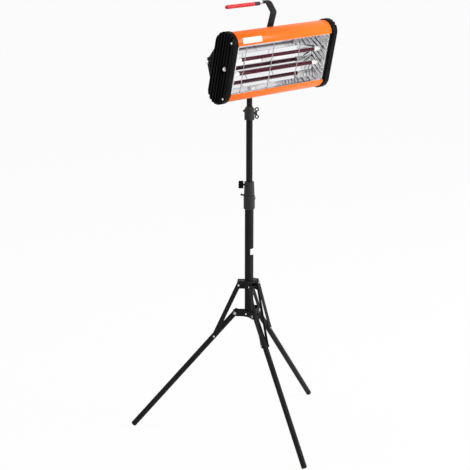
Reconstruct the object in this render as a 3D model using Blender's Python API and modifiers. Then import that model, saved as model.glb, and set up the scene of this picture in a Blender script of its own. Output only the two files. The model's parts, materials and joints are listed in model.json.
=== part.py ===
# Infrared paint curing lamp on a folding tripod stand, in metres with +Z up.
# The origin is on the floor under the column, the lamp faces -Y and its long side runs along X.
import math

import bmesh
import bpy
from mathutils import Matrix, Vector

# General clearances
FIT_GAP = 0.0003
CUT_OVERRUN = 0.003
MERGE_DISTANCE = 0.00001

# Facet counts of a full turn, and of a half turn or a rounded edge
TUBE_STEPS = 24
BOSS_STEPS = 16
SMALL_STEPS = 10
HEX_STEPS = 6
ENVELOPE_STEPS = 30
LOBE_STEPS = 16
CAP_STEPS = 10
END_STEPS = 8
EDGE_STEPS = 3
SHARP_ANGLE = math.radians(35)

# Telescopic column, heights above the floor
LOW_TUBE_DIA = 0.030
LOW_TUBE_WALL = 0.0015
LOW_TUBE_TOP = 0.838
MID_TUBE_DIA = 0.022
MID_TUBE_WALL = 0.0012
MID_TUBE_BOTTOM = 0.600
MID_TUBE_TOP = 1.140
TOP_TUBE_DIA = MID_TUBE_DIA - 2 * (MID_TUBE_WALL + FIT_GAP)
TOP_TUBE_WALL = 0.0015
TOP_TUBE_BOTTOM = 0.900
TOP_TUBE_TOP = 1.336
BUSH_LENGTH = 0.020

# Clamp between the lower and the middle tube
COUPLER_DIA = 0.0375
COUPLER_BOTTOM = 0.7974
COUPLER_CHAMFER = 0.003
COUPLER_SPLIT = 0.8453
COUPLER_UPPER_DIA = 0.0328
COUPLER_TOP = 0.8930
COUPLER_TOP_CHAMFER = 0.002
CLAMP_AZIMUTH = math.radians(-46.3)
KNOB_HEIGHT = 0.8825
KNOB_DIA = 0.025
KNOB_LENGTH = 0.0155
KNOB_ROUND = 0.003
KNOB_FLUTES = 8
KNOB_FLUTE_DIA = 0.004
STUD_DIA = 0.006
PIN_HEIGHT = 0.856
PIN_REACH = 0.029
NUT_HEIGHT = 0.835
NUT_DIA = 0.009
NUT_LENGTH = 0.003

# Collar between the middle and the top tube
COLLAR_DIA = 0.034
COLLAR_BOTTOM = 1.1059
COLLAR_SHOULDER = 1.1423
COLLAR_TOP = 1.1508
COLLAR_TOP_DIA = 0.022
WING_HEIGHT = 1.1287
WING_HUB_DIA = 0.011
WING_REACH = 0.0255
WING_SPREAD = 0.012
WING_LOOP_RADIUS = 0.0057
WING_WIRE_RADIUS = 0.0018
WING_ARM_SHARE = 0.7
RIVET_HEIGHT = 1.136
RIVET_DIA = 0.007
RIVET_HEAD = 0.0022

# Folding tripod
LEG_NAMES = ("front", "right", "left")
FRONT_LEG_AZIMUTH = math.radians(-109.5)
LEG_SLOPE = math.radians(49.43)
LEG_DIA = 0.019
LEG_WALL = 0.0015
LEG_OVERHANG = 0.014
LEG_PIVOT_RADIUS = 0.0482
LEG_PIVOT_HEIGHT = 0.4275
PIVOT_PIN_DIA = 0.006
PIVOT_HEAD_DIA = 0.011
PIVOT_HEAD_LENGTH = 0.002
PLUG_RIM = 0.007
PLUG_ROUND = 0.003
PLUG_SPIGOT = 0.020
HUB_SHEET = 0.002
HUB_SLEEVE_WALL = 0.0025
HUB_WELD = 0.0005
LOWER_HUB_BELOW_PIVOT = 0.0285
LOWER_HUB_ABOVE_PIVOT = 0.0195
LOWER_WING_ROUND = 0.0095
UPPER_HUB_BELOW_PIVOT = 0.0222
UPPER_HUB_ABOVE_PIVOT = 0.0258
UPPER_WING_ROUND = 0.0125
UPPER_WING_SPREAD = 0.012
STRUT_PIVOT_RADIUS = 0.03485
HUB_SPACING = 0.1032
STRUT_ON_LEG = 0.1118
STRUT_WIDTH = 0.014
STRUT_SHEET = 0.0025
STRUT_KINK_FROM_LEG = 0.028
STRUT_STRAIGHT_TOP = 0.014
WEB_RIVET_LENGTH = 0.0022
STRUT_PIVOT_HEIGHT = LEG_PIVOT_HEIGHT + HUB_SPACING
LOW_TUBE_BOTTOM = LEG_PIVOT_HEIGHT - LOWER_HUB_BELOW_PIVOT

# Yoke that carries the head
TILT_AXIS_FORWARD = 0.042
TILT_AXIS_HEIGHT = 1.328
HEAD_TILT = math.radians(12.24)
SOCKET_SIZE = 0.028
SOCKET_BOTTOM = 1.292
SOCKET_TOP = 1.350
SOCKET_BEVEL = 0.003
YOKE_BAR_HEIGHT = 0.025
YOKE_BAR_SHEET = 0.005
YOKE_BEND = 0.014
TILT_BOLT_DIA = 0.008
TILT_WASHER_DIA = 0.016
TILT_WASHER_LENGTH = 0.008
TILT_NUT_DIA = 0.013
TILT_NUT_LENGTH = 0.013
TILT_BOLT_INNER = 0.004

# Lamp head, measured forward and up from the tilt axis
HEAD_RISE = 0.0045
HEAD_LENGTH = 0.450
HEAD_CENTRE_FORWARD = 0.070
LOBE_SPACING = 0.079
HOUSING_ROUND = 0.037
HOUSING_WALL = 0.0012
LIP_HEIGHT = 0.081
LIP_DEPTH = 0.011
CAP_LENGTH = 0.025
CAP_ROUND = 0.041
CAP_BEVEL = 0.0025
CAP_EDGE_ANGLE = math.radians(60)
CAP_WALL = 0.003
CAP_RIM = 0.009
RIB_GROOVES = 6
RIB_PITCH = 0.0117
RIB_GROOVE_WIDTH = 0.0062
RIB_GROOVE_DEPTH = 0.009
FIRST_GROOVE = 0.0088
CAP_RECESS_DIA = 0.028
CAP_BOLT_FORWARD = 0.080
CAP_BOLT_DIA = 0.011
CAP_BOLT_LENGTH = 0.005
CAP_SCREW_ANGLE = math.radians(25)
CAP_SCREW_RADIUS = 0.033
CAP_SCREW_DIA = 0.0075
CAP_SCREW_LENGTH = 0.0025
CAP_SCREW_BOSS_DIA = 0.012
SCREW_SHANK_DIA = 0.004
SCREW_SHANK_LENGTH = 0.012

# Reflector, lamps and guard
REFLECTOR_SHEET = 0.001
REFLECTOR_FACETS = 9
REFLECTOR_DEPTH = 0.046
REFLECTOR_LIP = 0.008
REFLECTOR_END_ROOM = 0.0105
END_PLATE_SHEET = 0.001
END_PLATE_RIDGES = 7
END_PLATE_RIDGE_RISE = 0.0018
END_PLATE_RIDGE_SLOPE = math.radians(27.5)
END_PLATE_SPARE_RIDGES = 2
END_PLATE_MARGIN = 0.002
LAMP_SPACING = 0.048
LAMP_FORWARD = 0.080
LAMP_DIA = 0.010
LAMP_END_ROOM = 0.0395
CERAMIC_DIA = 0.015
CERAMIC_NECK_DIA = 0.011
CERAMIC_NECK_LENGTH = 0.014
CERAMIC_CHAMFER = 0.0015
SEAL_DEPTH = 0.012
WIRE_DIA = 0.0025
WIRE_END_ROOM = 0.0345
WIRE_PITCH = 0.128
WIRE_COUNT = 3
WIRE_TAIL = 0.006
TERMINAL_WIDTH = 0.060
TERMINAL_HEIGHT = 0.018
TERMINAL_DEPTH = 0.011
TERMINAL_BEVEL = 0.001

# Pivot plates, handle and cable gland on the back of the head
PLATE_SHEET = 0.003
PLATE_ROUND = 0.016
PLATE_HALF_HEIGHT = 0.072
PLATE_SHOULDER = 0.018
PLATE_FLANGE = 0.016
PLATE_FLANGE_HALF_HEIGHT = 0.060
STRIP_WIDTH = 0.025
STRIP_SHEET = 0.003
STRIP_FOOT = 0.045
STRIP_LEAVES_BACK = 0.097
STRIP_ELBOW_FORWARD = 0.0442
STRIP_ELBOW_HEIGHT = 0.1636
STRIP_END_FORWARD = 0.0072
STRIP_END_HEIGHT = 0.1878
STRIP_LEDGE = 0.015
HANDLE_ROD_DIA = 0.006
GRIP_COLLAR_START = 0.038
GRIP_COLLAR_LENGTH = 0.017
GRIP_COLLAR_DIA = 0.0105
GRIP_DIA = 0.012
GRIP_LENGTH = 0.139
GRIP_SOCKET = 0.090
GLAND_SIDE = 0.070
GLAND_DROP = 0.050
GLAND_HEX_DIA = 0.020
GLAND_HEX_LENGTH = 0.006
GLAND_NUT_DIA = 0.017
GLAND_NUT_LENGTH = 0.014
GLAND_BORE_DIA = 0.008
GLAND_ROUND = 0.003

# Colour, roughness and metallic value of each material
MATERIALS = {
    "orange_enamel": ((0.93, 0.24, 0.05), 0.32, 0.0),
    "black_casting": ((0.03, 0.03, 0.032), 0.5, 0.2),
    "black_enamel": ((0.022, 0.022, 0.024), 0.35, 0.1),
    "black_plastic": ((0.02, 0.02, 0.02), 0.6, 0.0),
    "polished_aluminium": ((0.85, 0.86, 0.88), 0.12, 1.0),
    "chrome": ((0.75, 0.76, 0.78), 0.15, 1.0),
    "zinc_steel": ((0.45, 0.46, 0.47), 0.35, 1.0),
    "ruby_quartz": ((0.16, 0.01, 0.025), 0.08, 0.0),
    "white_ceramic": ((0.82, 0.81, 0.78), 0.55, 0.0),
    "red_grip": ((0.65, 0.01, 0.02), 0.45, 0.0),
}

# Outline point (a, b) and thickness c go to (c, a, b), for side profiles that run along X
SIDE_PROFILE = Matrix(((0, 0, 1, 0), (1, 0, 0, 0), (0, 1, 0, 0), (0, 0, 0, 1)))
# Outline point (a, b) and thickness c go to (a, -c, b), for front views that run along Y
FRONT_PROFILE = Matrix(((1, 0, 0, 0), (0, 0, -1, 0), (0, 1, 0, 0), (0, 0, 0, 1)))

REFLECTOR_HALF_LENGTH = HEAD_LENGTH / 2 - REFLECTOR_END_ROOM
LAMP_HALF_VISIBLE = REFLECTOR_HALF_LENGTH - LAMP_END_ROOM
WIRE_REACH = REFLECTOR_HALF_LENGTH - WIRE_END_ROOM


def clear_scene():
    for item in list(bpy.data.objects):
        bpy.data.objects.remove(item, do_unlink=True)


def collection(name):
    made = bpy.data.collections.new(name)
    bpy.context.scene.collection.children.link(made)
    return made


def make_materials():
    made = {}
    for name, (colour, roughness, metallic) in MATERIALS.items():
        material = bpy.data.materials.new(name)
        material.use_nodes = True
        shader = material.node_tree.nodes["Principled BSDF"]
        shader.inputs["Base Color"].default_value = (*colour, 1.0)
        shader.inputs["Roughness"].default_value = roughness
        shader.inputs["Metallic"].default_value = metallic
        material.diffuse_color = (*colour, 1.0)
        made[name] = material
    return made


clear_scene()
PARTS = collection("infrared_curing_lamp")
CUTTERS = collection("cutters")
MATERIAL = make_materials()


def plain_mesh(source, name):
    """Mesh of a curve or of a mesh with modifiers, merged and facing outwards."""
    bpy.context.view_layer.update()
    graph = bpy.context.evaluated_depsgraph_get()
    mesh = bpy.data.meshes.new_from_object(source.evaluated_get(graph))
    mesh.name = name
    shape = bmesh.new()
    shape.from_mesh(mesh)
    bmesh.ops.remove_doubles(shape, verts=shape.verts, dist=MERGE_DISTANCE)
    bmesh.ops.dissolve_degenerate(shape, edges=shape.edges, dist=MERGE_DISTANCE)
    bmesh.ops.recalc_face_normals(shape, faces=shape.faces)
    shape.to_mesh(mesh)
    shape.free()
    data = source.data
    bpy.data.objects.remove(source, do_unlink=True)
    if isinstance(data, bpy.types.Curve):
        bpy.data.curves.remove(data)
    else:
        bpy.data.meshes.remove(data)
    return mesh


def draft(name, data):
    item = bpy.data.objects.new(name, data)
    bpy.context.scene.collection.objects.link(item)
    return item


def turned_mesh(name, profile, steps=TUBE_STEPS, closed=True):
    """Solid of revolution about Z from a profile of (radius, height) points."""
    mesh = bpy.data.meshes.new(name)
    count = len(profile)
    edges = [(i, i + 1) for i in range(count - 1)]
    if closed:
        edges.append((count - 1, 0))
    mesh.from_pydata([(r, 0, z) for r, z in profile], edges, [])
    item = draft(name, mesh)
    screw = item.modifiers.new("turn", "SCREW")
    screw.axis = "Z"
    screw.steps = steps
    screw.render_steps = steps
    screw.use_merge_vertices = True
    screw.merge_threshold = MERGE_DISTANCE
    return plain_mesh(item, name)


def prism_mesh(name, outline, thickness, frame=None):
    """Flat outline filled on both sides, centred on its thickness."""
    curve = bpy.data.curves.new(name, "CURVE")
    curve.dimensions = "2D"
    curve.fill_mode = "BOTH"
    curve.extrude = thickness / 2
    spline = curve.splines.new("POLY")
    spline.points.add(len(outline) - 1)
    for point, (a, b) in zip(spline.points, outline):
        point.co = (a, b, 0, 1)
    spline.use_cyclic_u = True
    mesh = plain_mesh(draft(name, curve), name)
    if frame is not None:
        mesh.transform(frame)
    return mesh


def rod_mesh(name, points, radius):
    """Round wire through the points, with closed ends."""
    curve = bpy.data.curves.new(name, "CURVE")
    curve.dimensions = "3D"
    curve.bevel_depth = radius
    curve.bevel_resolution = 2
    curve.use_fill_caps = True
    spline = curve.splines.new("POLY")
    spline.points.add(len(points) - 1)
    for point, place in zip(spline.points, points):
        point.co = (*place, 1)
    return plain_mesh(draft(name, curve), name)


def sheet_mesh(name, path, width, thickness, offset=0.0, frame=None):
    """Bent sheet: an open path of (a, b) points pulled along its width and thickened."""
    shape = bmesh.new()
    start = [shape.verts.new((a, b, -width / 2)) for a, b in path]
    edges = [shape.edges.new(pair) for pair in zip(start, start[1:])]
    pulled = bmesh.ops.extrude_edge_only(shape, edges=edges)
    moved = [part for part in pulled["geom"] if isinstance(part, bmesh.types.BMVert)]
    bmesh.ops.translate(shape, verts=moved, vec=(0, 0, width))
    mesh = bpy.data.meshes.new(name)
    shape.to_mesh(mesh)
    shape.free()
    item = draft(name, mesh)
    solid = item.modifiers.new("sheet", "SOLIDIFY")
    solid.thickness = thickness
    solid.offset = offset
    solid.use_even_offset = True
    made = plain_mesh(item, name)
    if frame is not None:
        made.transform(frame)
    return made


def box_mesh(name, low, high, bevel=0.0):
    """Box between two corners, with rounded edges where a bevel is given."""
    low = Vector(low)
    high = Vector(high)
    shape = bmesh.new()
    bmesh.ops.create_cube(shape, size=1.0)
    bmesh.ops.scale(shape, verts=shape.verts, vec=high - low)
    bmesh.ops.translate(shape, verts=shape.verts, vec=(low + high) / 2)
    mesh = bpy.data.meshes.new(name)
    shape.to_mesh(mesh)
    shape.free()
    if not bevel:
        return mesh
    item = draft(name, mesh)
    add_bevel(item, bevel)
    return plain_mesh(item, name)


def cylinder_mesh(name, radius, start, end, steps=SMALL_STEPS):
    """Cylinder along Z between two heights."""
    shape = bmesh.new()
    bmesh.ops.create_cone(
        shape, cap_ends=True, segments=steps, radius1=radius, radius2=radius, depth=end - start
    )
    bmesh.ops.translate(shape, verts=shape.verts, vec=(0, 0, (start + end) / 2))
    mesh = bpy.data.meshes.new(name)
    shape.to_mesh(mesh)
    shape.free()
    return mesh


def add_bevel(item, width, segments=2, angle=SHARP_ANGLE):
    bevel = item.modifiers.new("round_edges", "BEVEL")
    bevel.width = width
    bevel.segments = segments
    bevel.limit_method = "ANGLE"
    bevel.angle_limit = angle
    return bevel


def part(name, mesh, material, parent=None, location=(0, 0, 0), rotation=(0, 0, 0)):
    """Named sub-part in the parts collection."""
    mesh.name = name
    mesh.materials.clear()
    mesh.materials.append(MATERIAL[material])
    mesh.shade_smooth()
    mesh.set_sharp_from_angle(angle=SHARP_ANGLE)
    item = bpy.data.objects.new(name, mesh)
    item.location = location
    item.rotation_euler = rotation
    item.parent = parent
    PARTS.objects.link(item)
    return item


def axis(name, location=(0, 0, 0), rotation=(0, 0, 0), parent=None):
    """Empty on a joint's axis."""
    item = bpy.data.objects.new(name, None)
    item.location = location
    item.rotation_euler = rotation
    item.parent = parent
    item.empty_display_size = LEG_PIVOT_RADIUS
    PARTS.objects.link(item)
    return item


def shape_with(target, mesh, operation="DIFFERENCE", location=(0, 0, 0), rotation=(0, 0, 0)):
    """Exact Boolean of a part with a tool placed in the part's own frame."""
    tool = bpy.data.objects.new(f"{target.name}_{operation.lower()}_{len(target.modifiers)}", mesh)
    tool.parent = target
    tool.location = location
    tool.rotation_euler = rotation
    tool.hide_render = True
    tool.display_type = "WIRE"
    CUTTERS.objects.link(tool)
    change = target.modifiers.new(operation.lower(), "BOOLEAN")
    change.operation = operation
    change.solver = "EXACT"
    change.object = tool
    return tool


def arc(centre, radius, start, end, steps):
    """Points of an arc from start to end angle, both ends included."""
    turn = (end - start) / steps
    angles = [start + turn * i for i in range(steps + 1)]
    return [(centre[0] + radius * math.cos(a), centre[1] + radius * math.sin(a)) for a in angles]


def ring(inner, outer, low, high):
    """Profile of a plain tube between two heights."""
    return [(inner, low), (outer, low), (outer, high), (inner, high)]


def plan(azimuth, radius, side=0.0):
    """Point in plan at a radius along a leg's azimuth and a distance to its left side."""
    return (
        radius * math.cos(azimuth) - side * math.sin(azimuth),
        radius * math.sin(azimuth) + side * math.cos(azimuth),
    )


def build_column():
    """Three tubes, the clamp and the collar that join them, and their screws."""
    low_radius = LOW_TUBE_DIA / 2
    mid_radius = MID_TUBE_DIA / 2
    top_radius = TOP_TUBE_DIA / 2
    low_bore = low_radius - LOW_TUBE_WALL
    tube = turned_mesh("lower_tube", ring(low_bore, low_radius, LOW_TUBE_BOTTOM, LOW_TUBE_TOP))
    part("lower_tube", tube, "black_enamel")

    mid_slide = axis("mid_slide_axis", (0, 0, MID_TUBE_BOTTOM))
    rise = MID_TUBE_TOP - MID_TUBE_BOTTOM
    tube = turned_mesh("middle_tube", ring(mid_radius - MID_TUBE_WALL, mid_radius, 0, rise))
    part("middle_tube", tube, "black_enamel", mid_slide)
    bush = ring(mid_radius + FIT_GAP, low_bore - FIT_GAP, 0, BUSH_LENGTH)
    part("middle_tube_bush", turned_mesh("bush", bush), "black_plastic", mid_slide)

    top_slide = axis("top_slide_axis", (0, 0, TOP_TUBE_BOTTOM - MID_TUBE_BOTTOM), parent=mid_slide)
    rise = TOP_TUBE_TOP - TOP_TUBE_BOTTOM
    tube = turned_mesh("top_tube", ring(top_radius - TOP_TUBE_WALL, top_radius, 0, rise))
    part("top_tube", tube, "black_enamel", top_slide)

    build_coupler(low_radius, mid_radius)
    build_collar(mid_slide, mid_radius, top_radius)
    return top_slide


def build_coupler(low_radius, mid_radius):
    """Two-piece clamp on the lower tube, with its knob, pin and nut."""
    outer = COUPLER_DIA / 2
    low_bore = low_radius + FIT_GAP
    mid_bore = mid_radius + FIT_GAP
    seat = LOW_TUBE_TOP + FIT_GAP
    profile = [
        (low_bore, COUPLER_BOTTOM),
        (outer - COUPLER_CHAMFER, COUPLER_BOTTOM),
        (outer, COUPLER_BOTTOM + COUPLER_CHAMFER),
        (outer, COUPLER_SPLIT),
        (mid_bore, COUPLER_SPLIT),
        (mid_bore, seat),
        (low_bore, seat),
    ]
    lower = part("coupler_base", turned_mesh("coupler_base", profile), "black_plastic")

    outer_top = COUPLER_UPPER_DIA / 2
    profile = [
        (mid_bore, COUPLER_SPLIT + FIT_GAP),
        (outer_top, COUPLER_SPLIT + FIT_GAP),
        (outer_top, COUPLER_TOP - COUPLER_TOP_CHAMFER),
        (outer_top - COUPLER_TOP_CHAMFER, COUPLER_TOP),
        (mid_bore, COUPLER_TOP),
    ]
    upper = part("coupler_clamp", turned_mesh("coupler_clamp", profile), "black_plastic")

    left = CLAMP_AZIMUTH + math.pi
    turn_left = (0, math.pi / 2, left)
    turn_right = (0, math.pi / 2, CLAMP_AZIMUTH)
    hole = STUD_DIA / 2 + FIT_GAP
    drill = cylinder_mesh("knob_hole", hole, 0, outer)
    shape_with(upper, drill, location=(0, 0, KNOB_HEIGHT), rotation=turn_left)
    stud_start = mid_radius + FIT_GAP
    face = outer_top + FIT_GAP
    stud = STUD_DIA / 2
    grip = KNOB_DIA / 2
    profile = [(0, stud_start), (stud, stud_start), (stud, face), (grip - KNOB_ROUND, face)]
    profile += arc((grip - KNOB_ROUND, face + KNOB_ROUND), KNOB_ROUND, -math.pi / 2, 0, EDGE_STEPS)[1:]
    far = face + KNOB_LENGTH
    profile += arc((grip - KNOB_ROUND, far - KNOB_ROUND), KNOB_ROUND, 0, math.pi / 2, EDGE_STEPS)
    profile.append((0, far))
    mesh = turned_mesh("clamp_knob", profile, closed=False)
    knob = part("clamp_knob", mesh, "black_plastic", location=(0, 0, KNOB_HEIGHT), rotation=turn_left)
    for index in range(KNOB_FLUTES):
        angle = math.tau * index / KNOB_FLUTES
        low = face + KNOB_ROUND
        flute = cylinder_mesh("flute", KNOB_FLUTE_DIA / 2, low, far + CUT_OVERRUN, HEX_STEPS)
        shape_with(knob, flute, location=(*plan(angle, grip), 0))

    stub = PIN_REACH - outer_top
    drill = cylinder_mesh("pin_hole", hole, 0, outer)
    shape_with(upper, drill, location=(0, 0, PIN_HEIGHT), rotation=turn_left)
    pin = cylinder_mesh("pin", stud, stud_start, outer_top + stub)
    part("coupler_pin", pin, "zinc_steel", location=(0, 0, PIN_HEIGHT), rotation=turn_left)

    drill = cylinder_mesh("nut_hole", hole, 0, outer + CUT_OVERRUN)
    shape_with(lower, drill, location=(0, 0, NUT_HEIGHT), rotation=turn_right)
    nut_face = outer + FIT_GAP
    profile = [
        (0, low_bore),
        (stud, low_bore),
        (stud, nut_face),
        (NUT_DIA / 2, nut_face),
        (NUT_DIA / 2, nut_face + NUT_LENGTH),
        (0, nut_face + NUT_LENGTH),
    ]
    nut = turned_mesh("coupler_screw", profile, HEX_STEPS, closed=False)
    part("coupler_screw", nut, "zinc_steel", location=(0, 0, NUT_HEIGHT), rotation=turn_right)


def build_collar(mid_slide, mid_radius, top_radius):
    """Collar on the middle tube, with the wing screw that clamps the top tube."""
    outer = COLLAR_DIA / 2
    seat = MID_TUBE_TOP + FIT_GAP
    profile = [
        (mid_radius + FIT_GAP, COLLAR_BOTTOM),
        (outer, COLLAR_BOTTOM),
        (outer, COLLAR_SHOULDER),
        (COLLAR_TOP_DIA / 2, COLLAR_TOP),
        (top_radius + FIT_GAP, COLLAR_TOP),
        (top_radius + FIT_GAP, seat),
        (mid_radius + FIT_GAP, seat),
    ]
    down = -MID_TUBE_BOTTOM
    mesh = turned_mesh("collar", profile)
    collar = part("top_collar", mesh, "black_plastic", mid_slide, (0, 0, down))

    turn_right = (0, math.pi / 2, CLAMP_AZIMUTH)
    hole = STUD_DIA / 2 + FIT_GAP
    drill = cylinder_mesh("wing_hole", hole, 0, outer + CUT_OVERRUN)
    shape_with(collar, drill, location=(0, 0, WING_HEIGHT), rotation=turn_right)
    stud = STUD_DIA / 2
    face = outer + FIT_GAP
    start = mid_radius + FIT_GAP
    hub = WING_HUB_DIA / 2
    profile = [(0, start), (stud, start), (stud, face), (hub, face), (hub, WING_REACH), (0, WING_REACH)]
    mesh = turned_mesh("wing_screw", profile, SMALL_STEPS, closed=False)
    place = (0, 0, WING_HEIGHT + down)
    wing = part("wing_screw", mesh, "zinc_steel", mid_slide, place, turn_right)
    half_arm = WING_WIRE_RADIUS * WING_ARM_SHARE
    for side in (-1, 1):
        section = arc((WING_LOOP_RADIUS, 0), WING_WIRE_RADIUS, 0, math.tau, HEX_STEPS)[:-1]
        torus = turned_mesh("wing_loop", section, BOSS_STEPS)
        place = (side * WING_SPREAD, 0, WING_REACH)
        shape_with(wing, torus, "UNION", place, (math.pi / 2, 0, 0))
        arm = box_mesh(
            "wing_arm",
            (0, -half_arm, face + WING_WIRE_RADIUS),
            (WING_SPREAD - WING_LOOP_RADIUS, half_arm, WING_REACH - half_arm),
        )
        turn = (0, 0, 0 if side > 0 else math.pi)
        shape_with(wing, arm, "UNION", rotation=turn)

    head = RIVET_DIA / 2
    profile = [(0, face), (head, face), (head, face + RIVET_HEAD / 2), (head / 2, face + RIVET_HEAD)]
    profile.append((0, face + RIVET_HEAD))
    turn_left = (0, math.pi / 2, CLAMP_AZIMUTH + math.pi)
    mesh = turned_mesh("collar_rivet", profile, SMALL_STEPS, closed=False)
    part("collar_rivet", mesh, "zinc_steel", mid_slide, (0, 0, RIVET_HEIGHT + down), turn_left)


def hub_mesh(name, low, high, pivot_radius, pivot_height, wing_round, wing_inner):
    """Sleeve with three bent sheets whose wings form a clevis at each leg."""
    bore = LOW_TUBE_DIA / 2 + FIT_GAP
    sleeve_radius = bore + HUB_SLEEVE_WALL
    hub = part(name, turned_mesh(name, ring(bore, sleeve_radius, low, high)), "black_enamel")
    reach = pivot_radius + wing_round + CUT_OVERRUN
    side = wing_inner + HUB_SHEET / 2
    web = sleeve_radius + HUB_SHEET / 2 - HUB_WELD
    root = (web - side * math.sin(math.pi / 3)) / math.cos(math.pi / 3)
    slope_radius = (sleeve_radius + pivot_radius) / 2
    profile = [(0, low), (slope_radius, low)]
    profile += arc((pivot_radius, pivot_height), wing_round, -math.pi / 2, math.pi / 2, END_STEPS)
    profile += [(slope_radius, high), (0, high)]
    for index, leg in enumerate(LEG_NAMES):
        here = FRONT_LEG_AZIMUTH + index * math.tau / len(LEG_NAMES)
        after = here + math.tau / len(LEG_NAMES)
        path = [plan(here, reach, side), plan(here, root, side)]
        path += [plan(after, root, -side), plan(after, reach, -side)]
        sheet = sheet_mesh(f"{name}_{leg}", path, high - low, HUB_SHEET)
        sheet.transform(Matrix.Translation((0, 0, (low + high) / 2)))
        blank = draft(f"{name}_{leg}", sheet)
        turned = turned_mesh("envelope", profile, ENVELOPE_STEPS, closed=False)
        envelope = draft(f"{name}_{leg}_envelope", turned)
        trim = blank.modifiers.new("trim", "BOOLEAN")
        trim.operation = "INTERSECT"
        trim.solver = "EXACT"
        trim.object = envelope
        trimmed = plain_mesh(blank, f"{name}_{leg}")
        bpy.data.objects.remove(envelope, do_unlink=True)
        shape_with(hub, trimmed, "UNION")
    shape_with(hub, cylinder_mesh("bore", bore, low - CUT_OVERRUN, high + CUT_OVERRUN, TUBE_STEPS))
    pin_hole = PIVOT_PIN_DIA / 2 + FIT_GAP
    for index in range(len(LEG_NAMES)):
        azimuth = FRONT_LEG_AZIMUTH + index * math.tau / len(LEG_NAMES)
        span = side + HUB_SHEET / 2 + CUT_OVERRUN
        drill = cylinder_mesh("pin_hole", pin_hole, -span, span)
        place = (*plan(azimuth, pivot_radius), pivot_height)
        shape_with(hub, drill, location=place, rotation=(math.pi / 2, 0, azimuth))
    return hub


def leg_pivots():
    """Where a strut meets its leg, and the strut's length and slope, in the leg's own plane."""
    joint_radius = LEG_PIVOT_RADIUS + STRUT_ON_LEG * math.cos(LEG_SLOPE)
    joint_height = LEG_PIVOT_HEIGHT - STRUT_ON_LEG * math.sin(LEG_SLOPE)
    across = joint_radius - STRUT_PIVOT_RADIUS
    down = STRUT_PIVOT_HEIGHT - joint_height
    return math.hypot(across, down), math.atan2(down, across)


def leg_length():
    """Length from the pivot to the end of the plug, whose rounded edge rests on the floor."""
    edge = LEG_DIA / 2 - PLUG_ROUND
    end_height = edge * math.cos(LEG_SLOPE) + PLUG_ROUND * (1 - math.sin(LEG_SLOPE))
    return (LEG_PIVOT_HEIGHT - end_height) / math.sin(LEG_SLOPE)


def pivot_pin_mesh(name, half_span):
    """Pin along Z with a rivet head at both ends."""
    pin = PIVOT_PIN_DIA / 2
    head = PIVOT_HEAD_DIA / 2
    end = half_span + PIVOT_HEAD_LENGTH
    chamfer = PIVOT_HEAD_LENGTH / 2
    profile = [(0, -end), (head - chamfer, -end), (head, -end + chamfer), (head, -half_span)]
    profile += [(pin, -half_span), (pin, half_span)]
    profile += [(head, half_span), (head, end - chamfer), (head - chamfer, end), (0, end)]
    return turned_mesh(name, profile, SMALL_STEPS, closed=False)


def build_strut(leg, azimuth, upper_fold):
    """Pair of bent strips with the pin that joins them through the upper hub."""
    length, slope = leg_pivots()
    place = (*plan(azimuth, STRUT_PIVOT_RADIUS), 0)
    hinge = axis(f"strut_axis_{leg}", place, (0, slope, azimuth), upper_fold)
    wing_outer = UPPER_WING_SPREAD + HUB_SHEET
    top_side = wing_outer + FIT_GAP + STRUT_SHEET / 2
    leg_side = LEG_DIA / 2 + FIT_GAP + STRUT_SHEET / 2
    end = STRUT_WIDTH / 2
    path = [
        (-end - CUT_OVERRUN, top_side),
        (STRUT_STRAIGHT_TOP, top_side),
        (length - STRUT_KINK_FROM_LEG, leg_side),
        (length + end + CUT_OVERRUN, leg_side),
    ]
    outline = arc((0, 0), end, math.pi / 2, 3 * math.pi / 2, END_STEPS)
    outline += arc((length, 0), end, -math.pi / 2, math.pi / 2, END_STEPS)
    span = 2 * (top_side + STRUT_SHEET)
    half_span = top_side + STRUT_SHEET / 2 + FIT_GAP
    pin = pivot_pin_mesh(f"strut_pair_{leg}", half_span - FIT_GAP)
    pin.transform(Matrix.Rotation(math.pi / 2, 4, "X"))
    pair = part(f"strut_pair_{leg}", pin, "black_enamel", hinge)
    for side in (-1, 1):
        strip = sheet_mesh("strip", [(a, side * b) for a, b in path], STRUT_WIDTH, STRUT_SHEET)
        blank = draft("strip_blank", strip)
        rounding = draft("strip_rounding", prism_mesh("rounding", outline, span, FRONT_PROFILE))
        trim = blank.modifiers.new("trim", "BOOLEAN")
        trim.operation = "INTERSECT"
        trim.solver = "EXACT"
        trim.object = rounding
        trimmed = plain_mesh(blank, f"strip_{leg}")
        bpy.data.objects.remove(rounding, do_unlink=True)
        shape_with(pair, trimmed, "UNION")
        outside = leg_side + STRUT_SHEET / 2
        head = cylinder_mesh("leg_rivet", PIVOT_HEAD_DIA / 2, leg_side, outside + PIVOT_HEAD_LENGTH)
        turn = (-side * math.pi / 2, 0, 0)
        shape_with(pair, head, "UNION", (length, 0, 0), turn)


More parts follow.
